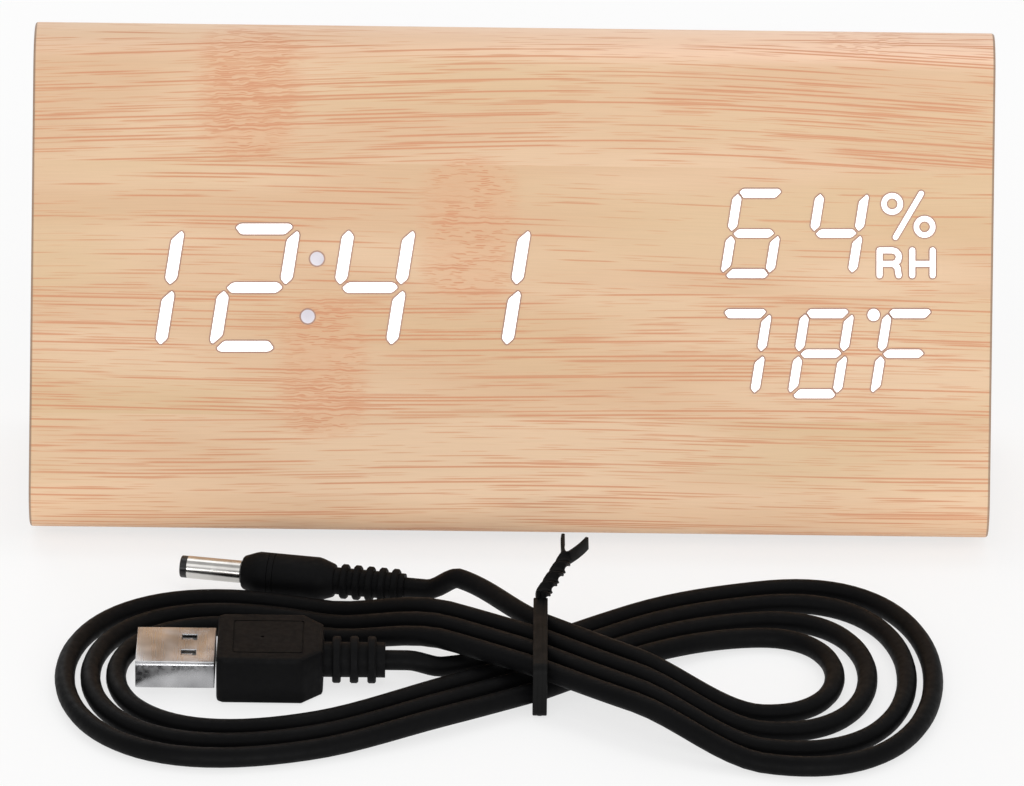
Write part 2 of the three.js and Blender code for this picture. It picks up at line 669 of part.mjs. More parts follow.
piece(display, 'display_driver', block(driverChip.x - driverChip.width / 2,
  driverChip.x + driverChip.width / 2, driverChip.y - driverChip.height / 2,
  driverChip.y + driverChip.height / 2, driverTop - driverChip.thickness, driverTop), chipBlack);

const trayHalf = (cellPitch * (cellCount - 1)) / 2 + cellRadius + traySide;
const trayCentreY = panelOpening.bottom + trayRise + trayHalf;
const trayInner = { left: trayLeft, right: trayRight,
  bottom: trayCentreY - trayHalf, top: trayCentreY + trayHalf };
const doorInside = -doorThickness - gap;
const cellZ = doorInside - gap - cellRadius;
const trayFloor = cellZ - cellRadius - traySide;
const doorEdge = { left: trayInner.left - doorLip, right: trayInner.right + doorLip,
  bottom: trayInner.bottom + doorBarrelRadius, top: trayInner.top + doorLip };
const hingeY = trayInner.bottom + doorBarrelRadius;
const hingeZ = -doorBarrelRadius;
const recess = (x0, x1, y0, y1, z0) => block(x0 - gap, x1 + gap, y0, y1 + gap, z0, overrun);
const ontoHinge = alongX.clone().premultiply(placed(0, hingeY, hingeZ));
const rod = (radius, x0, x1) => moved(disc(0, 0, radius, x0, x1, screwSteps), ontoHinge);
const pinLeft = doorEdge.left - doorPinLength;
const pinRight = doorEdge.right + doorPinLength;
const pinHole = rod(doorPinRadius + gap, pinLeft - 2 * gap, pinRight + 2 * gap);

// Rear panel: plate, flange, battery tray and the two posts of the control board
const plateOutline = roundedRectangle(gap - panelOpening.halfWidth, panelOpening.halfWidth - gap,
  panelOpening.bottom + gap, panelOpening.top - gap, panelCorner - gap);
const postPlaces = [[board.left + post.inset, board.top - post.inset],
  [board.right - post.inset, board.bottom + post.inset]];
const boardFront = -board.depth;
const panelSolids = [
  slab(plateOutline, -panelPlate, 0),
  slab(flangeEdge(0), -panelFlange, 0),
  block(trayInner.left - trayWall, trayInner.right + trayWall, trayInner.bottom - trayWall,
    trayInner.top + trayWall, trayFloor - trayWall, -panelPlate / 2),
  ...postPlaces.map(([x, y]) => disc(x, y, post.radius, boardFront + gap, -panelPlate / 2, screwSteps)),
];
const panelCuts = [
  block(trayInner.left, trayInner.right, trayInner.bottom, trayInner.top, trayFloor, overrun),
  recess(doorEdge.left, doorEdge.right, hingeY, doorEdge.top, doorInside),
  block(doorEdge.left - gap, doorEdge.right + gap, trayInner.bottom - gap, hingeY + doorBarrelRadius,
    hingeZ - doorBarrelRadius - gap, overrun),
  pinHole,
  ...panelScrewPlaces.map(([x, y]) =>
    disc(x, y, panelScrew.radius + gap, -panelPlate - overrun, overrun, screwSteps)),
  ...panelScrewPlaces.map(([x, y]) =>
    disc(x, y, panelScrew.headRadius + gap, -panelScrewPlace.sink, overrun, screwSteps)),
  ...postPlaces.map(([x, y]) => disc(x, y, post.holeRadius, boardFront - overrun, -panelPlate, screwSteps)),
  ...buttonX.map((x) =>
    disc(x, buttonRowY, button.radius + gap, -panelPlate - overrun, overrun, buttonSteps)),
  disc(socket.x, buttonRowY, socket.nose + gap, -panelPlate - overrun, overrun, socketSteps),
  disc(buzzer.x, buzzer.y, buzzer.hole, -panelPlate - overrun, overrun, screwSteps),
];
for (let i = 0; i < vent.count; i += 1) {
  const x = sensor.x + (i - (vent.count - 1) / 2) * vent.pitch;
  panelCuts.push(block(x - vent.width / 2, x + vent.width / 2, vent.y - vent.height / 2,
    vent.y + vent.height / 2, -panelPlate - overrun, overrun));
}
piece(back, 'rear_panel', without(union(panelSolids), panelCuts), blackPlastic);

panelScrewPlaces.forEach(([x, y], i) => {
  const seat = clearSeat - panelScrewPlace.sink;
  const screw = turned([[0, seat - panelScrew.length], [panelScrew.radius, seat - panelScrew.length],
    [panelScrew.radius, seat], [panelScrew.headRadius, seat],
    [panelScrew.headRadius * screwCrownShare, seat + panelScrew.headHeight],
    [0, seat + panelScrew.headHeight]], screwSteps);
  piece(back, `panel_screw_${i + 1}`, moved(screw, placed(x, y, 0)), steel);
});

// Cells and their contacts
for (let i = 0; i < cellCount; i += 1) {
  const y = trayCentreY + (i - (cellCount - 1) / 2) * cellPitch;
  const cell = turned([[0, 0], [cellRadius - cellEdge, 0], [cellRadius, cellEdge],
    [cellRadius, cellLength - cellEdge], [cellRadius - cellEdge, cellLength], [cellNubRadius, cellLength],
    [cellNubRadius, cellLength + cellNub], [0, cellLength + cellNub]], cellSteps);
  const flip = i % 2 === 0 ? 1 : -1;
  const turn = new THREE.Matrix4().makeRotationY((flip * Math.PI) / 2);
  const start = flip > 0 ? trayInner.left + trayEnd : trayInner.right - trayEnd;
  turn.premultiply(placed(start, y, cellZ));
  piece(back, `battery_cell_${i + 1}`, moved(cell, turn), cellSkin);
}
[['contact_strip_left', trayInner.left, 1],
  ['contact_strip_right', trayInner.right, -1]].forEach(([name, x, side]) => {
  const at = x + side * gap;
  const inner = at + side * contactPlate;
  const strip = block(Math.min(at, inner), Math.max(at, inner), trayInner.bottom + gap,
    trayInner.top - gap, trayFloor + gap, cellZ + contactRadius);
  const bumps = [];
  for (let i = 0; i < cellCount; i += 1) {
    const y = trayCentreY + (i - (cellCount - 1) / 2) * cellPitch;
    const facing = (i % 2 === 0) === (side > 0);
    const room = trayEnd - gap - contactPlate - gap;
    const reach = contactPlate / 2 + room;
    const base = facing ? contactRadius : contactTipRadius;
    const crown = facing ? contactTipRadius : contactTipRadius * contactTaperShare;
    const bump = turned([[0, 0], [base, 0], [crown, reach], [0, reach]], screwSteps);
    const turn = new THREE.Matrix4().makeRotationY((side * Math.PI) / 2);
    turn.premultiply(placed(at + (side * contactPlate) / 2, y, cellZ));
    bumps.push(moved(bump, turn));
  }
  piece(back, name, union([strip, ...bumps]), steel);
});

// Battery door on two pins along its lower edge
const doorSolids = [
  block(doorEdge.left, doorEdge.right, hingeY, doorEdge.top, -doorThickness, 0),
  rod(doorBarrelRadius, doorEdge.left, doorEdge.right),
  rod(doorPinRadius, pinLeft, pinRight),
];
const doorMiddle = (doorEdge.left + doorEdge.right) / 2;
for (let i = 0; i < doorGripRibs; i += 1) {
  const y = doorEdge.top - doorGrip.inset - i * doorGrip.pitch;
  doorSolids.push(block(doorMiddle - doorGrip.width / 2, doorMiddle + doorGrip.width / 2,
    y - doorGrip.rib / 2, y + doorGrip.rib / 2, -doorThickness / 2, doorGrip.height));
}
piece(back, 'battery_door', union(doorSolids), blackPlastic);

// Control board
const boardBack = boardFront - board.thickness;
const boardPlate = slab(roundedRectangle(board.left, board.right, board.bottom, board.top, boardCorner),
  boardBack, boardFront);
const boardCuts = postPlaces.map(([x, y]) =>
  disc(x, y, boardScrew.radius + gap, boardBack - overrun, boardFront + overrun, screwSteps));
piece(back, 'control_board', without(boardPlate, boardCuts), boardGreen);
postPlaces.forEach(([x, y], i) => {
  const seat = boardBack - clearSeat;
  const head = seat - boardScrew.headHeight;
  const tip = seat + boardScrew.length - gap;
  const screw = turned([[0, head], [boardScrew.headRadius, head], [boardScrew.headRadius, seat],
    [boardScrew.radius, seat], [boardScrew.radius, tip], [0, tip]], screwSteps);
  piece(back, `board_screw_${i + 1}`, moved(screw, placed(x, y, 0)), steel);
});

// Buttons and the switches behind them
const seated = boardFront + clearSeat;
buttonX.forEach((x, i) => {
  const plungerTop = seated + tact.body + tact.plunger;
  const tactBody = union([
    block(x - tact.size / 2, x + tact.size / 2, buttonRowY - tact.size / 2, buttonRowY + tact.size / 2,
      seated, seated + tact.body),
    disc(x, buttonRowY, tact.plungerRadius, seated + tact.body / 2, plungerTop, screwSteps)]);
  piece(back, `tact_switch_${i + 1}`, tactBody, chipBlack);
  const flangeTop = -panelPlate - gap;
  const stemEnd = plungerTop + button.travel + gap / 2;
  const cap = turned([[0, stemEnd], [button.stem, stemEnd], [button.stem, flangeTop - button.flange],
    [button.flangeRadius, flangeTop - button.flange], [button.flangeRadius, flangeTop],
    [button.radius, flangeTop], [button.radius, button.proud * buttonCrownShares.height],
    [button.radius * buttonCrownShares.radius, button.proud], [0, button.proud]], buttonSteps);
  piece(back, buttonNames[i], moved(cap, placed(x, buttonRowY, 0)), blackPlastic);
});

// Charging socket with its centre pin
const socketBody = union([
  block(socket.x - socket.width / 2, socket.x + socket.width / 2, buttonRowY - socket.height / 2,
    buttonRowY + socket.height / 2, seated, -panelPlate - gap),
  disc(socket.x, buttonRowY, socket.nose, -panelPlate - 2 * gap, -gap, socketSteps)]);
const boreFloor = -gap - socket.boreDepth;
const socketBore = disc(socket.x, buttonRowY, socket.bore, boreFloor, overrun, socketSteps);
const socketPin = disc(socket.x, buttonRowY, socket.pin, boreFloor - gap, -gap - socket.bore, screwSteps);
piece(back, 'charging_socket', union([without(socketBody, [socketBore]), socketPin]), chipBlack);

// Other parts of the control board
const buzzerBody = disc(buzzer.x, buzzer.y, buzzer.radius, seated, seated + buzzer.height, cellSteps);
piece(back, 'buzzer', buzzerBody, chipBlack);
const coinTop = seated + coin.thickness;
piece(back, 'coin_cell', disc(coin.x, coin.y, coin.radius, seated, coinTop, buttonSteps), steel);
const clipTop = coinTop + gap;
const clipLeft = coin.x - coin.radius - gap;
const clipRight = coin.x + coin.radius + gap;
const clipY0 = coin.y - coinClip.width / 2;
const clipY1 = coin.y + coinClip.width / 2;
const clipFoot = coinClip.thickness + coinClip.foot;
const clipPart = (x0, x1, z0, z1) => block(x0, x1, clipY0, clipY1, z0, z1);
piece(back, 'coin_cell_clip', union([
  clipPart(clipLeft - coinClip.thickness, clipRight + coinClip.thickness,
    clipTop, clipTop + coinClip.thickness),
  clipPart(clipLeft - coinClip.thickness, clipLeft, seated, clipTop + coinClip.thickness / 2),
  clipPart(clipRight, clipRight + coinClip.thickness, seated, clipTop + coinClip.thickness / 2),
  clipPart(clipLeft - clipFoot, clipLeft, seated, seated + coinClip.thickness),
  clipPart(clipRight, clipRight + clipFoot, seated, seated + coinClip.thickness),
]), steel);
const plate = (spec, z0, z1) => block(spec.x - spec.width / 2, spec.x + spec.width / 2,
  spec.y - spec.height / 2, spec.y + spec.height / 2, z0, z1);
piece(back, 'climate_sensor', plate(sensor, seated, seated + sensor.thickness), whitePlastic);
const under = boardBack - clearSeat;
piece(back, 'microcontroller', plate(chip, under - chip.thickness, under), chipBlack);
const crystalTurn = new THREE.Matrix4().makeRotationX(Math.PI / 2);
crystalTurn.premultiply(placed(crystal.x, crystal.y + crystal.length / 2, under - crystal.radius));
piece(back, 'crystal', moved(disc(0, 0, crystal.radius, 0, crystal.length, screwSteps), crystalTurn), steel);

// Ribbon cable between the two boards: a flat strip that sags between them
const ribbonStart = new THREE.Vector3(0, ribbon.boardY, ledBottom - gap).applyMatrix4(face.matrixWorld);
const ribbonEnd = new THREE.Vector3(0, ribbon.backY, boardBack - gap).applyMatrix4(back.matrixWorld);
const ribbonCurve = new THREE.CubicBezierCurve(
  new THREE.Vector2(ribbonStart.y, ribbonStart.z),
  new THREE.Vector2(ribbonStart.y - faceOut.y * ribbon.pull, ribbonStart.z - ribbon.sag),
  new THREE.Vector2(ribbonEnd.y - backOut.y * ribbon.pull, ribbonEnd.z - ribbon.sag),
  new THREE.Vector2(ribbonEnd.y, ribbonEnd.z));
const ribbonSide = (side) => {
  const points = [];
  for (let i = 0; i <= ribbon.steps; i += 1) {
    const at = ribbonCurve.getPoint(i / ribbon.steps);
    const along = ribbonCurve.getTangent(i / ribbon.steps);
    points.push(new THREE.Vector2(at.x - along.y * side * (ribbon.thickness / 2),
      at.y + along.x * side * (ribbon.thickness / 2)));
  }
  return points;
};
piece(clock, 'ribbon_cable', lengthwise([...ribbonSide(-1), ...ribbonSide(1).reverse()],
  ribbon.x - ribbon.width / 2, ribbon.x + ribbon.width / 2), whitePlastic);

// The lead lies on the table. Its cord is one figure of eight wound over and over: rising
// strands pass the waist in the lower layer and falling strands in the upper one.
const waistSlope = (2 * rightLoops[0].height) / rightLoops[0].reach;
const waistStep = strandPitch / Math.cos(Math.atan(waistSlope));
const strandCount = rightLoops.length;
const strandOffset = (k) => ((strandCount - 1) / 2 - k) * waistStep;
const smooth = (value) => {
  const t = Math.min(Math.max(value, 0), 1);
  return t * t * (3 - 2 * t);
};
const restZ = cordRadius + floorClearance;
const near = (x) => 1 - smooth((Math.abs(x) - waistReach) / (waistFall - waistReach));
const lowerZ = (x) => restZ + waistLift * near(x);
const upperZ = (x) => restZ + (waistLift + layerStep) * near(x);
const strandPoints = [];
const addPoint = (x, y, z) => strandPoints.push(new THREE.Vector3(hankCentre.x + x, hankCentre.y + y, z));

function rightLoop(k) {
  const { reach, height } = rightLoops[k];
  for (let i = 0; i < loopSteps; i += 1) {
    const angle = (Math.PI * (i + 0.5)) / loopSteps;
    const x = reach * Math.sin(angle);
    const y = height * Math.sin(2 * angle) + strandOffset(k) * Math.cos(angle);
    addPoint(x, y, angle < Math.PI / 2 ? lowerZ(x) : upperZ(x));
  }
}

function leftLoop(k) {
  const { reach, height } = leftLoops[k];
  for (let i = 0; i < loopSteps; i += 1) {
    const angle = (Math.PI * (i + 0.5)) / loopSteps;
    const x = -reach * Math.sin(angle);
    const along = smooth((1 - Math.cos(angle)) / 2);
    const offset = strandOffset(k) * (1 - along) + strandOffset(k + 1) * along;
    const drop = leftDrop * Math.sin(angle) ** 2;
    const y = height * Math.sin(2 * angle) - offset * Math.cos(angle) - drop;
    addPoint(x, y, angle < Math.PI / 2 ? upperZ(x) : lowerZ(x));
  }
}

// The two plugs lie on their sides of the left loops: the flat one inside, the round one outside
const usbAxisZ = usbBody.height / 2 + floorClearance;
const usbEnd = new THREE.Vector3(usb.x, usb.y, usbAxisZ);
const dcAxisZ = dcBody.radius + floorClearance;
const dcEnd = new THREE.Vector3(dc.x, dc.y, dcAxisZ);
const dcAlong = new THREE.Vector3(Math.cos(plugTurn), Math.sin(plugTurn), 0);
const straight = 2 * cordRadius;
const endSteps = 7;

// The run between a plug and the loops: straight out of the plug, then a smooth bend, which
// settles onto the strands' height in its first part
function endRun(end, along, target, heading) {
  const points = [gap, gap + straight].map((reach) => end.clone().addScaledVector(along, reach));
  const start = points[1];
  const pull = start.distanceTo(target) * endPullShare;
  const curve = new THREE.CubicBezierCurve3(start, start.clone().addScaledVector(along, pull),
    target.clone().addScaledVector(heading, -pull), target);
  for (let i = 1; i < endSteps; i += 1) {
    const t = i / endSteps;
    const point = curve.getPoint(t);
    point.z = start.z + (target.z - start.z) * smooth(t * endSettleRate);
    points.push(point);
  }
  return points;
}
rightLoops.forEach((loop, k) => {
  if (k > 0) leftLoop(k - 1);
  rightLoop(k);
});
const local = (point) => point.clone().sub(new THREE.Vector3(hankCentre.x, hankCentre.y, 0));
const count = strandPoints.length;
const headingAt = (i, j) => strandPoints[i].clone().sub(strandPoints[j]).normalize();
const usbRun = endRun(usbEnd, new THREE.Vector3(1, 0, 0), local(strandPoints[0]), headingAt(1, 0));
const dcRun = endRun(dcEnd, dcAlong, local(strandPoints[count - 1]), headingAt(count - 2, count - 1));
const shift = new THREE.Vector3(hankCentre.x, hankCentre.y, 0);
strandPoints.unshift(...usbRun.map((point) => point.add(shift)));
strandPoints.push(...dcRun.reverse().map((point) => point.add(shift)));

// A tube with a ring of corners at each point
function tube(points, radius, sides) {
  const positions = [];
  const faces = [];
  const side = new THREE.Vector3();
  const up = new THREE.Vector3(0, 0, 1);
  points.forEach((point, i) => {
    const before = points[Math.max(i - 1, 0)];
    const after = points[Math.min(i + 1, points.length - 1)];
    const along = after.clone().sub(before);
    if (i === 1) along.copy(points[1]).sub(points[0]);
    if (i === points.length - 2) along.copy(points[i + 1]).sub(points[i]);
    along.normalize();
    side.crossVectors(along, up).normalize();
    const lift = new THREE.Vector3().crossVectors(side, along);
    for (let j = 0; j < sides; j += 1) {
      const angle = (2 * Math.PI * (j + 0.5)) / sides;
      const corner = point.clone().addScaledVector(side, radius * Math.cos(angle))
        .addScaledVector(lift, radius * Math.sin(angle));
      positions.push(corner.x, corner.y, corner.z);
    }
  });
  for (let i = 1; i < points.length; i += 1) {
    for (let j = 0; j < sides; j += 1) {
      const a = (i - 1) * sides + j;
      const b = (i - 1) * sides + ((j + 1) % sides);
      faces.push(a, b + sides, b, a, a + sides, b + sides);
    }
  }
  const last = (points.length - 1) * sides;
  for (let j = 1; j < sides - 1; j += 1) {
    faces.push(0, j, j + 1, last, last + j + 1, last + j);
  }
  const geometry = new THREE.BufferGeometry();
  geometry.setAttribute('position', new THREE.BufferAttribute(new Float32Array(positions), 3));
  geometry.setIndex(faces);
  return geometry;
}

// Least gap of the cord to itself, measured between its points
const cordLength = strandPoints.reduce(
  (sum, point, i) => (i ? sum + point.distanceTo(strandPoints[i - 1]) : 0), 0);
function leastGap(points) {
  const fine = [];
  for (let i = 1; i < points.length; i += 1) {
    for (let s = 0; s < 4; s += 1) fine.push(points[i - 1].clone().lerp(points[i], s / 4));
  }
  const reach = [0];
  for (let i = 1; i < fine.length; i += 1) reach.push(reach[i - 1] + fine[i].distanceTo(fine[i - 1]));
  let least = Infinity;
  for (let i = 0; i < fine.length; i += 1) {
    for (let j = i + 1; j < fine.length; j += 1) {
      if (reach[j] - reach[i] < leastLoop) continue;
      least = Math.min(least, fine[i].distanceTo(fine[j]) - 2 * cordRadius);
    }
  }
  return least;
}
const cordGap = leastGap(strandPoints);
console.log(`cord length ${cordLength.toFixed(0)} mm, least gap to itself ${cordGap.toFixed(2)} mm`);
const hank = new THREE.Mesh(tube(strandPoints, cordRadius, cordSides), cordRubber);
hank.name = 'cord_hank';
clock.add(hank);

// Flat plug: shell with its two windows, contact tongue and moulded grip with a ringed strain relief
const usbGroup = new THREE.Group();
usbGroup.position.set(hankCentre.x + usbEnd.x, hankCentre.y + usbEnd.y, usbAxisZ);
clock.add(usbGroup);
const bodyFront = -usbRelief.length - usbBody.length;
const shellBack = bodyFront - gap;
const shellFront = shellBack - usb.shellLength;
const shellHalf = usb.shellWidth / 2;
const shellRise = usb.shellHeight / 2;
const shellCuts = [block(shellFront - overrun, shellBack - 2 * usb.shellWall, usb.shellWall - shellHalf,
  shellHalf - usb.shellWall, usb.shellWall - shellRise, shellRise - usb.shellWall)];
[-1, 1].forEach((side) => {
  const x = shellFront + usb.shellLength - usbHole.inset;
  const y = (side * usbHole.spread) / 2;
  shellCuts.push(block(x - usbHole.length / 2, x + usbHole.length / 2, y - usbHole.width / 2,
    y + usbHole.width / 2, 0, shellRise + overrun));
});
const shellBlock = block(shellFront, shellBack, -shellHalf, shellHalf, -shellRise, shellRise);
piece(usbGroup, 'usb_shell', without(shellBlock, shellCuts), steel);
const tongueBack = shellBack - 2 * usb.shellWall - gap;
const tongueTop = shellRise - usb.shellWall - usbTongue.drop;
piece(usbGroup, 'usb_tongue', block(tongueBack - usbTongue.length, tongueBack, -usbTongue.width / 2,
  usbTongue.width / 2, tongueTop - usbTongue.thickness, tongueTop), whitePlastic);

function relief(spec, x0) {
  const profile = [[0, x0 - usbBody.edge], [spec.neck, x0 - usbBody.edge]];
  const pitch = spec.length / (spec.rings + 0.5);
  for (let i = 0; i < spec.rings; i += 1) {
    const start = x0 + pitch * (i + 0.5);
    const stop = start + spec.ring;
    profile.push([spec.neck, start], [spec.radius, start], [spec.radius, stop], [spec.neck, stop]);
  }
  profile.push([spec.neck, x0 + spec.length], [0, x0 + spec.length]);
  return profile;
}
const bodyHalf = usbBody.width / 2;
const bodyRise = usbBody.height / 2;
const cutOutline = [[bodyFront + usbBody.edge, -bodyHalf], [-usbRelief.length - usbBody.cut, -bodyHalf],
  [-usbRelief.length, usbBody.cut - bodyHalf], [-usbRelief.length, bodyHalf - usbBody.cut],
  [-usbRelief.length - usbBody.cut, bodyHalf], [bodyFront + usbBody.edge, bodyHalf],
  [bodyFront, bodyHalf - usbBody.edge], [bodyFront, usbBody.edge - bodyHalf]]
  .map(([x, y]) => new THREE.Vector2(x, y));
const usbGrip = union([slab(cutOutline, -bodyRise, bodyRise),
  moved(turned(relief(usbRelief, -usbRelief.length), plugSteps), alongX)]);
piece(usbGroup, 'usb_grip', usbGrip, cordRubber);

// Round plug: barrel with its bore, and a moulded grip with a ringed strain relief
const dcGroup = new THREE.Group();
dcGroup.position.set(hankCentre.x + dcEnd.x, hankCentre.y + dcEnd.y, dcAxisZ);
dcGroup.rotation.z = plugTurn;
clock.add(dcGroup);
const dcFront = -dcRelief.length - dcBody.length;
const barrelBack = dcFront - gap;
const barrelTip = barrelBack - dc.barrel;
piece(dcGroup, 'dc_barrel', moved(turned([[0, barrelBack], [dc.barrelRadius, barrelBack],
  [dc.barrelRadius, barrelTip], [dc.bore, barrelTip], [dc.bore, barrelTip + dc.boreDepth],
  [0, barrelTip + dc.boreDepth]].reverse(), plugSteps), alongX), nickel);
const dcGrip = union([
  moved(turned([[0, dcFront], [dcBody.noseRadius, dcFront], [dcBody.radius, dcFront + dcBody.nose],
    [dcBody.radius, -dcRelief.length - dcBody.nose], [dcBody.noseRadius, -dcRelief.length],
    [0, -dcRelief.length]], plugSteps), alongX),
  moved(turned(relief(dcRelief, -dcRelief.length), plugSteps), alongX)]);
piece(dcGroup, 'dc_grip', dcGrip, cordRubber);

// Twist tie: a flat band round the waist, with its two tails twisted together
const bundleHalf = strandOffset(0) + (waistSlope * tie.width) / 2
  + cordRadius / Math.cos(Math.atan(waistSlope)) + tie.slack;
const bundleTop = restZ + waistLift + layerStep + cordRadius + gap;
const bandBottom = floorClearance;
const band = without(
  slab(roundedRectangle(-bundleHalf - tie.thickness, bundleHalf + tie.thickness, bandBottom,
    bundleTop + tie.thickness, tie.corner + tie.thickness), -tie.width / 2, tie.width / 2),
  [slab(roundedRectangle(-bundleHalf, bundleHalf, bandBottom + tie.thickness, bundleTop, tie.corner),
    -tie.width / 2 - overrun, tie.width / 2 + overrun)]);
const tailAlong = new THREE.Vector3(tieTailShares.x, tieTailShares.y, tieTailShares.z).normalize();
const tailStart = new THREE.Vector3(0, bundleHalf - tie.corner, bundleTop + 1.5 * tie.thickness);
function twistedBar(start, along, length, turns, width, thickness, steps) {
  const side0 = new THREE.Vector3().crossVectors(along, new THREE.Vector3(0, 0, 1)).normalize();
  const up0 = new THREE.Vector3().crossVectors(side0, along);
  const positions = [];
  const faces = [];
  for (let i = 0; i <= steps; i += 1) {
    const angle = (2 * Math.PI * turns * i) / steps;
    const side = side0.clone().multiplyScalar(Math.cos(angle)).addScaledVector(up0, Math.sin(angle));
    const up = new THREE.Vector3().crossVectors(side, along);
    const centre = start.clone().addScaledVector(along, (length * i) / steps);
    [[-1, -1], [1, -1], [1, 1], [-1, 1]].forEach(([a, b]) => {
      const corner = centre.clone().addScaledVector(side, (a * width) / 2);
      corner.addScaledVector(up, (b * thickness) / 2);
      positions.push(corner.x, corner.y, corner.z);
    });
  }
  for (let i = 0; i < steps; i += 1) {
    for (let j = 0; j < 4; j += 1) {
      const a = 4 * i + j;
      const b = 4 * i + ((j + 1) % 4);
      faces.push(a, b, b + 4, a, b + 4, a + 4);
    }
  }
  faces.push(0, 3, 2, 0, 2, 1);
  const last = 4 * steps;
  faces.push(last, last + 1, last + 2, last, last + 2, last + 3);
  const geometry = new THREE.BufferGeometry();
  geometry.setAttribute('position', new THREE.BufferAttribute(new Float32Array(positions), 3));
  geometry.setIndex(faces);
  return toSolid(geometry);
}
const tieSolids = [moved(band, alongX),
  twistedBar(tailStart, tailAlong, tie.tail, tie.turns, tie.width, 2 * tie.thickness, tie.steps)];
[-1, 1].forEach((side) => {
  const fork = tailAlong.clone().add(new THREE.Vector3(side * tieTailShares.fork, 0, 0)).normalize();
  const start = tailStart.clone().addScaledVector(tailAlong, tie.tail - tie.thickness);
  tieSolids.push(twistedBar(start, fork, tie.tip, 0, tie.width, tie.thickness, 1));
});
const tieMesh = piece(clock, 'twist_tie', union(tieSolids), cordRubber);
tieMesh.position.set(hankCentre.x, hankCentre.y, 0);

export default clock;
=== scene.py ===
"""A wooden wedge-shaped digital clock with its folded charging lead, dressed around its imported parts.

Lengths are in millimetres where nothing else is said, +Z is up, and the face looks along -Y.
"""
import math

import bpy
from mathutils import Matrix, Vector


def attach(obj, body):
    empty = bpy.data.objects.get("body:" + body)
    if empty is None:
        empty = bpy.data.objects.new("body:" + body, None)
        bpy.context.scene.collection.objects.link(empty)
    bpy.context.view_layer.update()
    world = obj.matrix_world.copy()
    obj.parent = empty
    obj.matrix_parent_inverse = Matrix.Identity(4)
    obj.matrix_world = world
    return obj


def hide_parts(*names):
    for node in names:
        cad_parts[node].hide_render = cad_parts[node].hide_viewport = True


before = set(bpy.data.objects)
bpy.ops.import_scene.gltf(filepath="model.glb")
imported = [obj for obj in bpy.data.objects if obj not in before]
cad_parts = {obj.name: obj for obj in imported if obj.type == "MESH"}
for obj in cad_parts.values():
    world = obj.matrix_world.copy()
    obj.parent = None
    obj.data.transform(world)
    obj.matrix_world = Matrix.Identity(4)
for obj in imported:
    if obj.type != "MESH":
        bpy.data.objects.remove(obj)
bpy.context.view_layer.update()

MM = 0.001

# The case, as in the part's own source
CASE_WIDTH = 150
FACE_FLAT = 64.9
EDGE_RADIUS = 7
FACE_LEAN = math.radians(25)
BACK_LEAN = math.radians(5)
WALL = 3.5
END_INSET = 0.4
END_THICKNESS = 3.5
GAP = 0.3
FOOT_HEIGHT = 1.2

RISE = FACE_FLAT * math.cos(FACE_LEAN)
FRONT_RUN = FACE_FLAT * math.sin(FACE_LEAN)
BACK_FLAT = RISE / math.cos(BACK_LEAN)
BACK_RUN = RISE * math.tan(BACK_LEAN)
DEPTH = FRONT_RUN + BACK_RUN + 2 * EDGE_RADIUS
FRONT_EDGE = Vector((0, EDGE_RADIUS - DEPTH / 2, FOOT_HEIGHT + EDGE_RADIUS))
TOP_EDGE = FRONT_EDGE + Vector((0, FRONT_RUN, RISE))
BACK_EDGE = FRONT_EDGE + Vector((0, FRONT_RUN + BACK_RUN, 0))
# How far the case turns at each of its three edges
TOP_TURN = math.pi - FACE_LEAN - BACK_LEAN
BACK_TURN = math.pi / 2 + BACK_LEAN
FRONT_TURN = math.pi / 2 + FACE_LEAN

RIGHT = Vector((1, 0, 0))
DOWN = Vector((0, 0, -1))
FACE_UP = Vector((0, math.sin(FACE_LEAN), math.cos(FACE_LEAN)))
FACE_OUT = Vector((0, -math.cos(FACE_LEAN), math.sin(FACE_LEAN)))
FACE_CENTRE = (FRONT_EDGE + TOP_EDGE) / 2 + EDGE_RADIUS * FACE_OUT
BACK_UP = Vector((0, -math.sin(BACK_LEAN), math.cos(BACK_LEAN)))
BACK_OUT = Vector((0, math.cos(BACK_LEAN), math.sin(BACK_LEAN)))
BACK_CENTRE = (BACK_EDGE + TOP_EDGE) / 2 + EDGE_RADIUS * BACK_OUT
DISPLAY_TURN = math.radians(0.69)


def place_at(x, y, z):
    """Matrix that moves a piece by millimetres."""
    return Matrix.Translation(Vector((x, y, z)) * MM)


def axes(right, up, out):
    return Matrix((right, up, out)).transposed().to_4x4()


# A piece modelled flat is carried by these onto the face and onto the back
FACE = place_at(*FACE_CENTRE) @ axes(RIGHT, FACE_UP, FACE_OUT) @ Matrix.Rotation(DISPLAY_TURN, 4, "Z")
BACK = place_at(*BACK_CENTRE) @ axes(-RIGHT, BACK_UP, BACK_OUT)


# Camera
CAMERA_DISTANCE = 1600
TRIAL_DISTANCE, TRIAL_LENS = 400, 90.2
SENSOR = 36
CAMERA_PITCH = math.radians(26.3)
VIEW_BELOW = 17.57
VIEW_ASIDE = 0.23


def add_camera():
    """The photograph's view: from in front and above, with a long lens."""
    ahead = Vector((0, math.cos(CAMERA_PITCH), -math.sin(CAMERA_PITCH)))
    up = Vector((0, math.sin(CAMERA_PITCH), math.cos(CAMERA_PITCH)))
    cosine, sine = math.cos(DISPLAY_TURN), math.sin(DISPLAY_TURN)
    bpy.ops.object.camera_add()
    camera = bpy.context.object
    camera.name = "view_camera"
    camera.data.lens = TRIAL_LENS * CAMERA_DISTANCE / TRIAL_DISTANCE
    camera.data.sensor_width = SENSOR
    place = FACE_CENTRE - CAMERA_DISTANCE * ahead - VIEW_BELOW * up + VIEW_ASIDE * RIGHT
    turn = axes(RIGHT * cosine + up * sine, up * cosine - RIGHT * sine, -ahead)
    camera.matrix_world = place_at(*place) @ turn
    bpy.context.scene.camera = camera


add_camera()


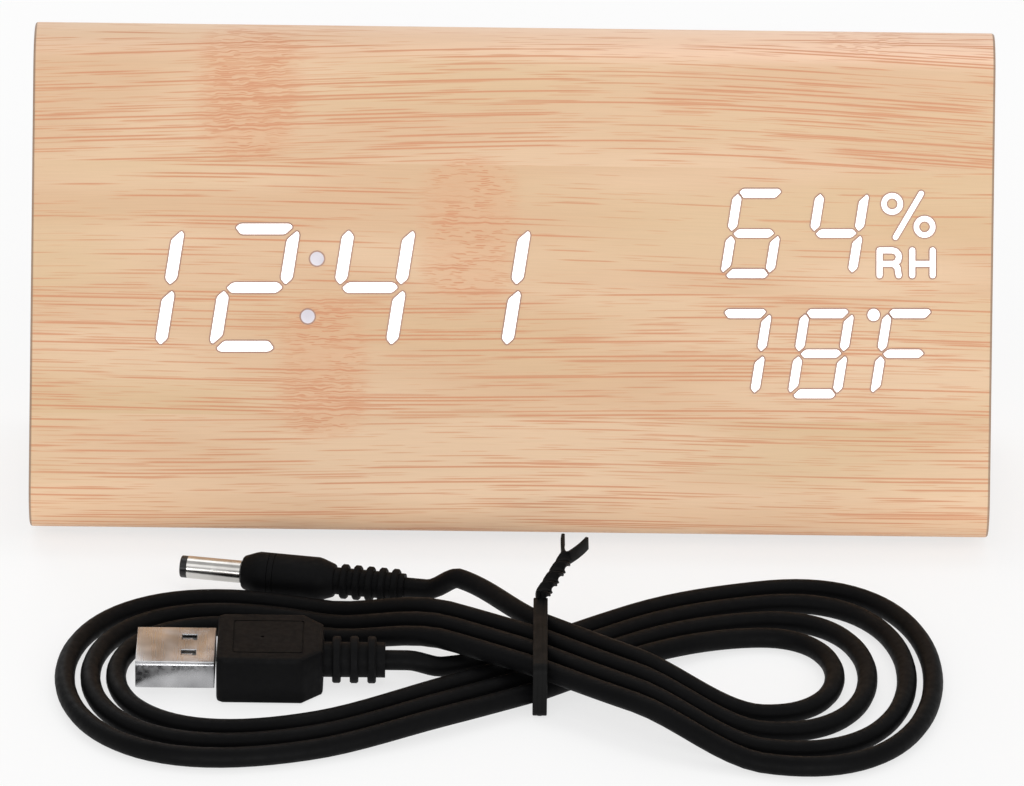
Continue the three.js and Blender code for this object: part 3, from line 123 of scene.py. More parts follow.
# Modelling helpers
NEAR = 0.01
OVERRUN = 2


def mode(name):
    bpy.ops.object.mode_set(mode=name)


def alone():
    """Leaves edit mode with nothing selected."""
    if bpy.context.object and bpy.context.object.mode != "OBJECT":
        mode("OBJECT")
    bpy.ops.object.select_all(action="DESELECT")


def work_on(piece):
    alone()
    piece.select_set(True)
    bpy.context.view_layer.objects.active = piece


def fresh(name):
    """Names the primitive that was just added."""
    piece = bpy.context.object
    piece.name = piece.data.name = name
    return piece


def drop(piece):
    bpy.data.objects.remove(piece, do_unlink=True)


def pick(piece, kind, test):
    """Selects in edit mode the edges or faces that pass the test.

    The test gets the two ends of an edge, or the middle and the normal of a face.
    """
    bpy.context.view_layer.objects.active = piece
    mode("EDIT")
    bpy.ops.mesh.select_mode(type=kind)
    bpy.ops.mesh.select_all(action="DESELECT")
    mode("OBJECT")
    mesh = piece.data
    if kind == "EDGE":
        for edge in mesh.edges:
            edge.select = test(*(mesh.vertices[i].co / MM for i in edge.vertices))
    else:
        for face in mesh.polygons:
            face.select = test(face.center / MM, face.normal)
    mode("EDIT")


def pick_all(piece):
    bpy.context.view_layer.objects.active = piece
    mode("EDIT")
    bpy.ops.mesh.select_all(action="SELECT")


def push(x, y, z):
    bpy.ops.mesh.extrude_region_move(TRANSFORM_OT_translate={"value": (x * MM, y * MM, z * MM)})


def outward():
    """Merges doubled points, turns all faces outwards and ends edit mode."""
    bpy.ops.mesh.select_all(action="SELECT")
    bpy.ops.mesh.remove_doubles(threshold=1e-6)
    bpy.ops.mesh.normals_make_consistent(inside=False)
    mode("OBJECT")


def round_edges(piece, width, test, segments=3, **settings):
    """Rounds the edges whose two ends pass the test."""
    pick(piece, "EDGE", test)
    bpy.ops.mesh.bevel(offset=width * MM, segments=segments, affect="EDGES", **settings)
    mode("OBJECT")


def inset(piece, width, test):
    """Draws a border inside the faces that pass the test."""
    pick(piece, "FACE", test)
    bpy.ops.mesh.inset(thickness=width * MM, depth=0)
    mode("OBJECT")


def prism(name, outline, z0, z1):
    """A flat outline, drawn as a ring and raised from z0 to z1."""
    alone()
    bpy.ops.mesh.primitive_circle_add(vertices=len(outline), radius=MM, fill_type="NGON")
    piece = fresh(name)
    for vertex, (x, y) in zip(piece.data.vertices, outline):
        vertex.co = (x * MM, y * MM, z0 * MM)
    pick_all(piece)
    push(0, 0, z1 - z0)
    outward()
    return piece


def box(name, low, high):
    """A block between two corners."""
    alone()
    bpy.ops.mesh.primitive_cube_add(size=MM, location=[(a + b) / 2 * MM for a, b in zip(low, high)])
    piece = fresh(name)
    piece.scale = [b - a for a, b in zip(low, high)]
    bpy.ops.object.transform_apply()
    return piece


def barrel(name, radius, z0, z1, sides=48, middle=(0, 0)):
    alone()
    bpy.ops.mesh.primitive_cylinder_add(vertices=sides, radius=radius * MM, depth=(z1 - z0) * MM,
                                        location=(middle[0] * MM, middle[1] * MM, (z0 + z1) / 2 * MM))
    piece = fresh(name)
    bpy.ops.object.transform_apply()
    return piece


def turned(name, profile, sides=48):
    """A closed outline of radius and height, spun about the z axis."""
    alone()
    bpy.ops.mesh.primitive_circle_add(vertices=len(profile), radius=MM, fill_type="NOTHING")
    piece = fresh(name)
    for vertex, (radius, height) in zip(piece.data.vertices, profile):
        vertex.co = (radius * MM, 0, height * MM)
    pick_all(piece)
    bpy.ops.mesh.spin(steps=sides, angle=2 * math.pi, center=(0, 0, 0), axis=(0, 0, 1))
    bpy.ops.mesh.select_all(action="SELECT")
    bpy.ops.mesh.remove_doubles(threshold=2e-6)
    bpy.ops.mesh.select_all(action="DESELECT")
    bpy.ops.mesh.select_interior_faces()
    bpy.ops.mesh.delete(type="FACE")
    bpy.ops.mesh.select_all(action="SELECT")
    bpy.ops.mesh.delete_loose(use_verts=True, use_edges=True, use_faces=False)
    outward()
    return piece


def rounded(x0, x1, y0, y1, radius, steps=8):
    """Outline of a rectangle with round corners."""
    corners = ((x1 - radius, y0 + radius, -0.5), (x1 - radius, y1 - radius, 0),
               (x0 + radius, y1 - radius, 0.5), (x0 + radius, y0 + radius, 1))
    points = []
    for x, y, start in corners:
        for i in range(steps + 1):
            angle = math.pi * (start + i / (2 * steps))
            points.append((x + radius * math.cos(angle), y + radius * math.sin(angle)))
    return points


def modify(piece, kind, **settings):
    """Adds a modifier and applies it."""
    modifier = piece.modifiers.new(kind, kind)
    for key, value in settings.items():
        setattr(modifier, key, value)
    work_on(piece)
    bpy.ops.object.modifier_apply(modifier=modifier.name)


def combine(operation, piece, tools):
    for tool in tools:
        modify(piece, "BOOLEAN", operation=operation, solver="EXACT", object=tool)
        drop(tool)
    return piece


def cut(piece, *tools):
    return combine("DIFFERENCE", piece, tools)


def weld(piece, *tools):
    return combine("UNION", piece, tools)


def soften(piece, width, segments=3, angle=35):
    """Rounds the sharp edges of a finished block."""
    modify(piece, "BEVEL", width=width * MM, segments=segments, limit_method="ANGLE",
           angle_limit=math.radians(angle), use_clamp_overlap=True)
    pick_all(piece)
    outward()
    return piece


def smooth(piece, angle=30):
    work_on(piece)
    bpy.ops.object.shade_smooth_by_angle(angle=math.radians(angle))
    return piece


def together(name, pieces):
    """One piece of several meshes that don't touch."""
    work_on(pieces[0])
    for piece in pieces:
        piece.select_set(True)
    if len(pieces) > 1:
        bpy.ops.object.join()
    return fresh(name)


def seat(piece, matrix):
    """Carries a piece from its own plane to its place, and leaves its object at the origin."""
    work_on(piece)
    piece.matrix_world = matrix
    bpy.ops.object.transform_apply()
    return piece


def copy_of(piece, name):
    twin = piece.copy()
    twin.data = piece.data.copy()
    twin.name = twin.data.name = name
    bpy.context.collection.objects.link(twin)
    return twin


def dress(piece, body, slot, materials, *nodes):
    """Gives a piece its materials, its body and the nodes that it stands for."""
    if not isinstance(materials, list):
        materials = [materials]
    finishes = [] if piece.type == "CURVE" else [face.material_index for face in piece.data.polygons]
    piece.data.materials.clear()
    for material in materials:
        piece.data.materials.append(material)
    for face, finish in enumerate(finishes):
        piece.data.polygons[face].material_index = min(finish, len(materials) - 1)
    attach(piece, body)
    if nodes:
        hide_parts(*nodes)


def repeat(first, copies):
    """Puts a copy of a finished piece at each place, each row with its name, matrix and finish."""
    for name, matrix, *finish in copies:
        dress(smooth(seat(copy_of(first, name), matrix)), *finish)
    drop(first)


# Materials
def tone(red, green, blue):
    """A colour as a screen shows it, 0 to 255, turned into a linear one."""
    def one(value):
        value /= 255
        return value / 12.92 if value <= 0.04045 else ((value + 0.055) / 1.055) ** 2.4
    return (one(red), one(green), one(blue), 1)


WHITE = (1, 1, 1, 1)


class Tree:
    """Nodes added and linked in small steps."""

    def __init__(self, tree):
        self.nodes = tree.nodes
        self.links = tree.links

    def add(self, kind, **settings):
        node = self.nodes.new(kind)
        for key, value in settings.items():
            setattr(node, key, value)
        return node

    def feed(self, node, *values, **named):
        """Gives inputs, in order or by name, a constant or a link."""
        for key, value in [*enumerate(values), *named.items()]:
            socket = node.inputs[key.replace("_", " ") if isinstance(key, str) else key]
            if isinstance(value, bpy.types.NodeSocket):
                self.links.new(value, socket)
            else:
                socket.default_value = value
        return node

    def math(self, operation, a, b=0.0):
        return self.feed(self.add("ShaderNodeMath", operation=operation), a, b).outputs[0]

    def plus(self, a, b):
        return self.math("ADD", a, b)

    def minus(self, a, b):
        return self.math("SUBTRACT", a, b)

    def times(self, a, b):
        return self.math("MULTIPLY", a, b)


class Finish(Tree):
    """A node material."""

    def __init__(self, name):
        self.material = bpy.data.materials.new(name)
        self.material.use_nodes = True
        super().__init__(self.material.node_tree)
        self.shader = self.nodes["Principled BSDF"]

    def set(self, **values):
        self.feed(self.shader, **values)

    def place(self, scale=(1, 1, 1), uv=False):
        source = self.add("ShaderNodeTexCoord").outputs["UV" if uv else "Object"]
        return self.feed(self.add("ShaderNodeMapping"), Vector=source, Scale=scale).outputs["Vector"]

    def noise(self, vector, scale=1.0, detail=2.0, rough=0.5, dimensions="3D"):
        node = self.add("ShaderNodeTexNoise", noise_dimensions=dimensions)
        return self.feed(node, Vector=vector, Scale=scale, Detail=detail, Roughness=rough).outputs["Fac"]

    def fade(self, value, low, high, out_low=0.0, out_high=1.0):
        node = self.add("ShaderNodeMapRange", interpolation_type="SMOOTHSTEP")
        self.feed(node, Value=value, From_Min=low, From_Max=high, To_Min=out_low, To_Max=out_high)
        return node.outputs["Result"]

    def blend(self, amount, a, b):
        node = self.add("ShaderNodeMix", data_type="RGBA")
        return self.feed(node, Factor=amount, A=a, B=b).outputs["Result"]

    def bump(self, height, strength, distance):
        node = self.feed(self.add("ShaderNodeBump"), Strength=strength, Distance=distance, Height=height)
        self.set(Normal=node.outputs["Normal"])


# The veneer, in metres from the middle of the face
STRIP = 0.0197
STRIP_TOP = 0.0179
# How crowded the streaks are in the strips of the face, counted from its upper one
CROWDED = {0: 0.058, -1: -0.055, -2: 0.047, -3: 0.024}
# Lines of the upper strip arch over its whole length, the others hardly do
ARCH, ARCH_MIDDLE, ARCH_ROUND = 0.045, 0.016, 0.03
ARCHED_TOP, ARCHED_ALL = 0.85, 0.15
# Middle and half length of each knot, of which the first three show on the face
KNOTS = ((-0.0415, 0.0295, 0.0090), (-0.0068, 0.0080, 0.0084), (-0.0292, -0.0138, 0.0078),
         (0.055, 0.047, 0.009), (0.030, 0.067, 0.009), (-0.055, 0.087, 0.009), (0.012, 0.107, 0.009),
         (-0.020, -0.052, 0.009), (0.048, -0.072, 0.009))
KNOT_HALF = 0.0118
END_LINE = 0.0746
# Painted highlight on the upper rounding, painted light that makes the lower rounding paler, and where the
# painted highlight turns pinker along the case
UPPER_HIGHLIGHT_START, UPPER_HIGHLIGHT_END = (0.033, 0.036), (0.046, 0.041)
LOWER_LIGHT_START = (-0.029, -0.034)
HIGHLIGHT_PINKER = (-0.05, 0.06)

VENEER_DARK, VENEER_PALE = tone(220, 183, 147), tone(229, 196, 162)
VENEER_GREEN, VENEER_ROSE = tone(217, 186, 145), tone(228, 194, 162)
VENEER_KNOT, VENEER_STREAK = tone(222, 170, 132), tone(211, 143, 105)
# the upper rounding's tone is a painted highlight, the lower rounding's tone is painted light
VENEER_UPPER_HIGHLIGHT, VENEER_LOWER_LIGHT = tone(246, 209, 181), tone(240, 206, 172)
# the end tone is partly the core's own colour, partly painted shade
VENEER_END_AND_SHADE = tone(150, 126, 108)


def wood(name, uv):
    """Light bamboo veneer: fine streaks in strips, knots where they crowd, and soft tints; on the case also a
    painted highlight on the upper rounding, painted light on the lower one, and ends that are darker partly
    from painted shade.
    """
    f = Finish(name)
    plus, minus, times, fade = f.plus, f.minus, f.times, f.fade
    parts = f.feed(f.add("ShaderNodeSeparateXYZ"), f.place(uv=uv)).outputs
    along, across = (parts[0], parts[1]) if uv else (parts[1], parts[2])
    strip = f.math("FLOOR", f.math("DIVIDE", minus(across, STRIP_TOP), STRIP))

    def dice(value):
        node = f.add("ShaderNodeTexWhiteNoise", noise_dimensions="1D")
        return f.feed(node, W=value).outputs["Value"]

    luck = dice(strip)

    def in_strip(number, value):
        return times(f.math("COMPARE", strip, number), value)

    def flat_noise(x, y, detail):
        spot = f.feed(f.add("ShaderNodeCombineXYZ"), x, y).outputs[0]
        return f.noise(spot, detail=detail, dimensions="2D")

    def grain(along_scale, across_scale, lane, offset, detail=0.0):
        """Noise of its own in each strip, stretched along it."""
        return flat_noise(plus(times(along, along_scale), times(plus(luck, offset), 71.3)),
                          plus(times(lane, across_scale), 13.7 * offset), detail)

    def swing(value, by):
        return times(minus(value, 0.5), by)

    aside = minus(along, ARCH_MIDDLE)
    arch = times(f.math("POWER", plus(times(aside, aside), ARCH_ROUND ** 2), 0.5), ARCH)
    arch = times(arch, plus(in_strip(0, ARCHED_TOP), ARCHED_ALL))
    lane = plus(plus(across, arch), swing(grain(9, 12, across, 0.3), 0.0030))

    knot = None
    for x, y, half in KNOTS:
        dx = f.math("DIVIDE", minus(along, x), half)
        dy = f.math("DIVIDE", minus(across, y), KNOT_HALF)
        reach = plus(times(dx, dx), f.math("POWER", f.math("ABSOLUTE", dy), 6.0))
        here = fade(reach, 0.1, 1.15, 1.0, 0.0)
        knot = here if knot is None else f.math("MAXIMUM", knot, here)
    lane = plus(lane, times(knot, swing(grain(420, 600, across, 5.0, 1.0), 0.0006)))

    def fibres(pitch, run_length, seed, low, high, favour, thick=0.22):
        """Thin lines of one width in lanes of one pitch, each with ends that taper away."""
        spot = plus(f.math("DIVIDE", lane, pitch), 40.5 + seed)
        cell = f.math("FLOOR", spot)
        chance = dice(plus(cell, 7.7 * seed))
        step = plus(f.math("DIVIDE", along, run_length), times(chance, 91.7))
        run = flat_noise(step, times(cell, 5.31), 0.6)
        strength = fade(plus(run, favour), low, high)
        middle = plus(times(chance, 0.3), 0.35)
        off = f.math("ABSOLUTE", minus(f.math("FRACT", spot), middle))
        return times(fade(minus(times(strength, thick), off), -0.09, 0.09), strength)

    crowd = swing(grain(9, 90, lane, 1.0, 1.0), 0.16)
    for number, value in CROWDED.items():
        crowd = plus(crowd, in_strip(number, value))
    short = fibres(0.00032, 0.0026, 4.0, 0.44, 0.58, times(crowd, 0.3), 0.26)
    ragged = fade(grain(130, 330, across, 5.5, 1.0), 0.30, 0.56, 0.2, 1.0)
    streaks = fibres(0.00060, 0.040, 1.0, 0.56, 0.69, crowd)
    for lines in (times(fibres(0.00046, 0.018, 2.0, 0.57, 0.72, plus(crowd, times(knot, 0.04))), 0.85),
                  times(fibres(0.00036, 0.009, 3.0, 0.54, 0.72, crowd), 0.5),
                  times(times(short, knot), ragged)):
        streaks = f.math("MAXIMUM", streaks, lines)

    base = f.blend(fade(grain(17, 85, lane, 7.0, 1.0), 0.36, 0.66), VENEER_DARK, VENEER_PALE)
    green = fade(grain(11, 60, lane, 8.0, 1.0), 0.44, 0.72)
    for amount, tint in ((times(green, 0.6), VENEER_GREEN), (times(luck, 0.3), VENEER_ROSE),
                         (times(knot, 0.42), VENEER_KNOT)):
        base = f.blend(amount, base, tint)
    if uv:
        # painted highlight along the upper rounding, weaker at the left end and stronger and pinker towards
        # the right
        upper = times(fade(across, *UPPER_HIGHLIGHT_START), fade(across, *UPPER_HIGHLIGHT_END))
        base = f.blend(times(upper, fade(along, *HIGHLIGHT_PINKER, 0.35, 0.95)), base, VENEER_UPPER_HIGHLIGHT)
        # painted light: the lower rounding is made paler
        base = f.blend(fade(across, *LOWER_LIGHT_START, 0.0, 0.45), base, VENEER_LOWER_LIGHT)
    colour = f.blend(times(streaks, 0.80), base, VENEER_STREAK)
    if uv:
        # the cut ends of the veneer are darker and greyer: partly the core's own colour, partly painted shade
        # for the dark line along the case's ends
        ends = fade(f.math("ABSOLUTE", along), END_LINE, END_LINE + 0.0001, 0.0, 0.8)
        colour = f.blend(ends, colour, VENEER_END_AND_SHADE)
    fibre = fade(grain(110, 5200, lane, 9.0, 1.0), 0.3, 0.7, 0.972, 1.0)
    shade = f.feed(f.add("ShaderNodeVectorMath", operation="SCALE"), colour, Scale=fibre)
    f.set(Base_Color=shade.outputs[0], Roughness=fade(streaks, 0, 1, 0.50, 0.62), Specular_IOR_Level=0.3)
    f.bump(minus(fibre, times(streaks, 0.4)), 0.10, 0.0001)
    return f.material


def speckled(name, dark, light, roughness=0.5, grain=900, bump=0.15, metallic=0.0, depth=0.00006, level=0.4):
    """Moulded plastic or rubber with a fine sparked texture."""
    f = Finish(name)
    spot = f.place()
    fine = f.noise(spot, grain, 2, 0.6)
    wide = f.noise(spot, grain / 12, 2, 0.5)
    f.set(Base_Color=f.blend(f.fade(wide, 0.3, 0.7), tone(*dark), tone(*light)),
          Roughness=f.fade(fine, 0.3, 0.7, roughness - 0.06, roughness + 0.06),
          Metallic=metallic, Specular_IOR_Level=level)
    f.bump(fine, bump, depth)
    return f.material


def brushed(name, dark, light, roughness, along=(900, 40, 900)):
    """Metal with fine lines that run one way."""
    f = Finish(name)
    lines = f.noise(f.place(along), 1.0, 3, 0.6)
    clouds = f.noise(f.place(), 160, 2, 0.5)
    f.set(Base_Color=f.blend(f.fade(clouds, 0.3, 0.7), tone(*dark), tone(*light)), Metallic=1.0,
          Roughness=f.fade(lines, 0.2, 0.8, roughness - 0.07, roughness + 0.09))
    f.bump(lines, 0.08, 0.00004)
    return f.material


def lit(name, colour, edge, strength):
    """A glowing diffuser, its glow a little patchy."""
    f = Finish(name)
    haze = f.fade(f.noise(f.place(), 260, 1, 0.5), 0.25, 0.75)
    f.set(Base_Color=f.blend(haze, tone(*edge), tone(*colour)), Roughness=0.5,
          Emission_Color=f.blend(haze, tone(*edge), tone(*colour)), Emission_Strength=strength)
    return f.material


bamboo = wood("bamboo_veneer", uv=True)
end_bamboo = wood("bamboo_end", uv=False)
glow = lit("lit_segment", (255, 255, 255), (252, 251, 250), 1.0)
glow_dim = lit("dim_dot", (226, 222, 228), (205, 200, 208), 0.12)
film_edge = speckled("segment_edge", (168, 132, 116), (184, 148, 132))
black = speckled("panel_black", (26, 26, 28), (34, 34, 36), 0.52, 1400, 0.3)
gloss_black = speckled("button_black", (18, 18, 19), (26, 26, 27), 0.34, 700, 0.08)
rubber = speckled("foot_rubber", (30, 30, 30), (42, 42, 42), 0.8, 700, 0.4)
lead_black = speckled("lead_rubber", (5, 5, 6), (9, 9, 10), 0.56, 900, 0.05, depth=0.00003, level=0.08)
grip_black = speckled("grip_rubber", (8, 8, 9), (13, 13, 14), 0.62, 1100, 0.25, level=0.08)
ribbon_black = speckled("tie_ribbon", (8, 8, 8), (14, 14, 14), 0.55, 500, 0.2, level=0.1)
steel = brushed("plug_steel", (150, 150, 152), (196, 196, 198), 0.27)
nickel = brushed("plated_nickel", (178, 176, 172), (214, 212, 208), 0.2, (60, 900, 900))
gold = brushed("gold_contact", (212, 172, 96), (232, 196, 122), 0.28)
white_plastic = speckled("white_plastic", (226, 226, 222), (240, 240, 237))
board_green = speckled("board_green", (20, 74, 46), (34, 98, 62), 0.36, 500, 0.2)
chip_black = speckled("chip_black", (24, 24, 25), (36, 36, 38), 0.55, 1200, 0.3)
cell_wrap = speckled("cell_wrap", (52, 64, 76), (70, 84, 98), 0.3, 400, 0.05, 0.4)


# The lead
CORD_RADIUS = 1.55
LOOP_STEPS = 72
HANK = (5, -66)
STRAND_PITCH = 3.95
LAYER_STEP = 3.9
WAIST_LIFT = 0.95
WAIST_REACH = 14
WAIST_FALL = 34
RIGHT_LOOPS = ((60, 23.5), (56, 22.2), (50, 19.8), (45, 17.6))
LEFT_LOOPS = ((64.6, 20.2), (68.5, 21.2), (72.4, 22.2))
LEFT_DROP = 2
FLOOR_CLEARANCE = 0.02
END_PULL = 0.36
END_SETTLE = 4.5
END_STEPS = 28
REST_Z = CORD_RADIUS + FLOOR_CLEARANCE
WAIST_SLOPE = 2 * RIGHT_LOOPS[0][1] / RIGHT_LOOPS[0][0]
WAIST_STEP = STRAND_PITCH / math.cos(math.atan(WAIST_SLOPE))

USB_AT = Vector((-23.6, -0.6, 3.82))
DC_AT = Vector((-21, 24.4, 3.42))
DC_TURN = math.radians(-10)


def ease(value):
    t = min(max(value, 0), 1)
    return t * t * (3 - 2 * t)


def strand_offset(k):
    return ((len(RIGHT_LOOPS) - 1) / 2 - k) * WAIST_STEP


def half_loop(side, k):
    """Strand k out to the right (1) or to the left (-1) and back, crossing over the others at the waist."""
    reach, height = (RIGHT_LOOPS if side > 0 else LEFT_LOOPS)[k]
    for i in range(LOOP_STEPS):
        angle = math.pi * (i + 0.5) / LOOP_STEPS
        x = side * reach * math.sin(angle)
        y = height * math.sin(2 * angle)
        if side > 0:
            y += strand_offset(k) * math.cos(angle)
        else:
            # each left half carries the cord over to the next strand's place
            y -= strand_offset(k + ease((1 - math.cos(angle)) / 2)) * math.cos(angle)
            y -= LEFT_DROP * math.sin(angle) ** 2
        upper = (angle < math.pi / 2) == (side < 0)
        near_waist = 1 - ease((abs(x) - WAIST_REACH) / (WAIST_FALL - WAIST_REACH))
        yield Vector((x, y, REST_Z + (WAIST_LIFT + LAYER_STEP * upper) * near_waist))


def end_run(end, along, target, heading):
    """Straight out of a plug for one diameter, then one smooth bend into the loops."""
    start = end + along * (GAP + 2 * CORD_RADIUS)
    pull = (target - start).length * END_PULL
    handles = (start, start + along * pull, target - heading * pull, target)
    points = [end - along * 2 * GAP, start]
    for i in range(1, END_STEPS):
        t = i / END_STEPS
        s = 1 - t
        point = (handles[0] * s ** 3 + handles[1] * 3 * s * s * t
                 + handles[2] * 3 * s * t * t + handles[3] * t ** 3)
        point.z = start.z + (target.z - start.z) * ease(t * END_SETTLE)
        points.append(point)
    return points


def cord_route():
    points = []
    for k in range(len(RIGHT_LOOPS)):
        if k > 0:
            points.extend(half_loop(-1, k - 1))
        points.extend(half_loop(1, k))
    usb_run = end_run(USB_AT, RIGHT, points[0], (points[1] - points[0]).normalized())
    dc_along = Vector((math.cos(DC_TURN), math.sin(DC_TURN), 0))
    dc_run = end_run(DC_AT, dc_along, points[-1], (points[-2] - points[-1]).normalized())
    shift = Vector((*HANK, 0))
    return [(point + shift) * MM for point in usb_run + points + dc_run[::-1]]


def add_cord(route):
    line = bpy.data.curves.new("cord", "CURVE")
    line.dimensions = "3D"
    line.bevel_depth = CORD_RADIUS * MM
    line.bevel_resolution = 6
    line.use_fill_caps = True
    spline = line.splines.new("POLY")
    spline.points.add(len(route) - 1)
    for point, place in zip(spline.points, route):
        point.co = (*place, 1)
    spline.use_smooth = True
    cord = bpy.data.objects.new("charging_cord", line)
    bpy.context.collection.objects.link(cord)
    dress(cord, "clock", "lead_rubber", lead_black, "cord_hank")
    return cord


route = cord_route()
cord = add_cord(route)
cord_length = sum((b - a).length for a, b in zip(route, route[1:]))


# Plugs and tie
ALONG_X = Matrix(((0, 0, 1, 0), (1, 0, 0, 0), (0, 1, 0, 0), (0, 0, 0, 1)))
USB_PLACE = place_at(HANK[0] + USB_AT.x, HANK[1] + USB_AT.y, USB_AT.z)
DC_PLACE = place_at(HANK[0] + DC_AT.x, HANK[1] + DC_AT.y, DC_AT.z) @ Matrix.Rotation(DC_TURN, 4, "Z")
RELIEF_LIP = 0.22
RELIEF_ROOT = 0.8
USB_RELIEF = dict(radius=3.6, neck=2.7, length=9.4, rings=3, ring=1.3)
USB_BODY, USB_HALF, USB_RISE = 16.2, 7.7, 3.8
USB_BACK_CORNER, USB_FRONT_CORNER, USB_ROUND, USB_BORDER = 3.2, 0.8, 0.75, 1.1
LINE_HALF, LINE_WIDTH, LINE_DEPTH = 5.3, 0.22, 0.16
LINE_FROM_FRONT, LINE_FROM_BACK, LINE_CORNER = 2.4, 3.0, 0.5
DIMPLE_RADIUS, DIMPLE_DEPTH, DIMPLE_FROM_FRONT = 0.28, 0.2, 6.9
SHELL_HALF, SHELL_RISE, SHEET, SHELL_LENGTH = 6, 2.25, 0.35, 12
SHELL_CORNER, SHELL_INNER_CORNER = 0.55, 0.3
WINDOW_Y, WINDOW_FROM_BACK, WINDOW_HALF, WINDOW_REACH = 2.5, 4, 0.95, 1.15
TAB_HALF, TAB_THICKNESS = 0.55, 0.25
TONGUE_LENGTH, TONGUE_HALF, TONGUE_THICKNESS, TONGUE_DROP = 10.6, 4.7, 1.4, 0.75
CONTACT_PITCH, CONTACT_HALF, CONTACT_FRONT, CONTACT_BACK = 2.3, 0.5, 10.0, 1.5
DC_RELIEF = dict(radius=2.7, neck=2.1, length=11, rings=5, ring=1.1)
DC_BODY, DC_TIP, DC_BLACK_RING = 14.5, 9.5, 1.1
DC_LINES = (4.2, 5.1)
DC_STEPS = 64


def relief_profile(radius, neck, length, rings, ring):
    """Half outline of a ringed strain relief, from inside the grip to its end."""
    profile = [(0, -length - RELIEF_ROOT), (neck, -length - RELIEF_ROOT)]
    pitch = length / (rings + 0.5)
    for i in range(rings):
        start = -length + pitch * (i + 0.5)
        stop = start + ring
        profile += [(neck, start), (radius - RELIEF_LIP, start), (radius, start + RELIEF_LIP),
                    (radius, stop - RELIEF_LIP), (radius - RELIEF_LIP, stop), (neck, stop)]
    return profile + [(neck, 0), (0, 0)]


def on_rim(point, outline):
    """True where a point lies on the outline's own edge."""
    for start, stop in zip(outline, outline[1:] + outline[:1]):
        a, b = Vector(start), Vector(stop)
        t = max(0, min(1, (point.xy - a).dot(b - a) / (b - a).length_squared))
        if (a + (b - a) * t - point.xy).length < 2 * NEAR:
            return True
    return False


def add_usb_grip(front):
    """The moulded body, its corners cut off towards the cord, and its strain relief."""
    stop = -USB_RELIEF["length"]
    half, slant, edge = USB_HALF, USB_BACK_CORNER, USB_FRONT_CORNER
    outline = [(front + edge, -half), (stop - slant, -half), (stop, slant - half), (stop, half - slant),
               (stop - slant, half), (front + edge, half), (front, half - edge), (front, edge - half)]
    grip = prism("usb_moulding", outline, -USB_RISE, USB_RISE)
    inset(grip, USB_BORDER, lambda middle, normal: abs(normal.z) > 0.9)

    def broad_rim(*ends):
        return all(abs(abs(point.z) - USB_RISE) < NEAR and on_rim(point, outline) for point in ends)

    round_edges(grip, USB_ROUND, broad_rim, 4, profile=0.6)
    # a sunk line on both broad sides, with a dimple inside it
    x0, x1, w = front + LINE_FROM_FRONT, stop - LINE_FROM_BACK, LINE_WIDTH
    for side in (-1, 1):
        line = prism("line", rounded(x0, x1, -LINE_HALF, LINE_HALF, LINE_CORNER, 3),
                     side * (USB_RISE - LINE_DEPTH), side * (USB_RISE + 0.4))
        cut(line, prism("inner", rounded(x0 + w, x1 - w, w - LINE_HALF, LINE_HALF - w, LINE_CORNER - 0.1, 3),
                        side * (USB_RISE - 0.3), side * (USB_RISE + 0.6)))
        low, high = sorted((side * (USB_RISE - DIMPLE_DEPTH), side * (USB_RISE + 0.4)))
        cut(grip, line, barrel("dimple", DIMPLE_RADIUS, low, high, 16, (front + DIMPLE_FROM_FRONT, 0)))
    weld(grip, seat(turned("stalk", relief_profile(**USB_RELIEF)), ALONG_X))
    dress(smooth(seat(grip, USB_PLACE)), "clock", "lead_rubber", grip_black, "usb_grip")
    return grip


def add_usb_shell(back):
    """The folded steel sleeve with two windows, a spring tab in each."""
    half, rise, t = SHELL_HALF, SHELL_RISE, SHEET
    tip = back - SHELL_LENGTH
    shell = prism("usb_sleeve", rounded(-half, half, -rise, rise, SHELL_CORNER, 4), tip, back)
    cut(shell, prism("hollow", rounded(t - half, half - t, t - rise, rise - t, SHELL_INNER_CORNER, 4),
                     tip - 1, back - 2 * t))
    z = back - WINDOW_FROM_BACK
    for y in (-WINDOW_Y, WINDOW_Y):
        cut(shell, box("window", (y - WINDOW_HALF, 0.2, z - WINDOW_REACH),
                       (y + WINDOW_HALF, rise + 1, z + WINDOW_REACH)))
        weld(shell, box("tab", (y - TAB_HALF, rise - t - TAB_THICKNESS, z - 1.3),
                        (y + TAB_HALF, rise - t - 0.02, z + 0.6)))
    seat(soften(shell, 0.09, 2, 40), USB_PLACE @ ALONG_X)
    dress(smooth(shell, 40), "clock", "steel", steel, "usb_shell")
    return shell


def add_usb_tongue(back):
    """The white tongue inside the sleeve and its four contacts."""
    top = SHELL_RISE - SHEET - TONGUE_DROP
    low = top - TONGUE_THICKNESS
    tongue = box("usb_insert", (back - TONGUE_LENGTH, -TONGUE_HALF, low), (back, TONGUE_HALF, top))
    dress(seat(soften(tongue, 0.15, 2), USB_PLACE), "clock", "white_plastic", white_plastic, "usb_tongue")
    strips = []
    for i in range(4):
        y = (i - 1.5) * CONTACT_PITCH
        strip = box("strip", (back - CONTACT_FRONT, y - CONTACT_HALF, low - 0.1),
                    (back - CONTACT_BACK, y + CONTACT_HALF, low + 0.04))
        strips.append(soften(strip, 0.05, 1))
    contacts = seat(together("usb_contacts", strips), USB_PLACE)
    dress(contacts, "clock", "nickel", gold)
    return [tongue, contacts]


def add_usb():
    front = -USB_RELIEF["length"] - USB_BODY
    grip = add_usb_grip(front)
    shell = add_usb_shell(front - GAP)
    return [grip, shell] + add_usb_tongue(front - 2 * GAP - 2 * SHEET)


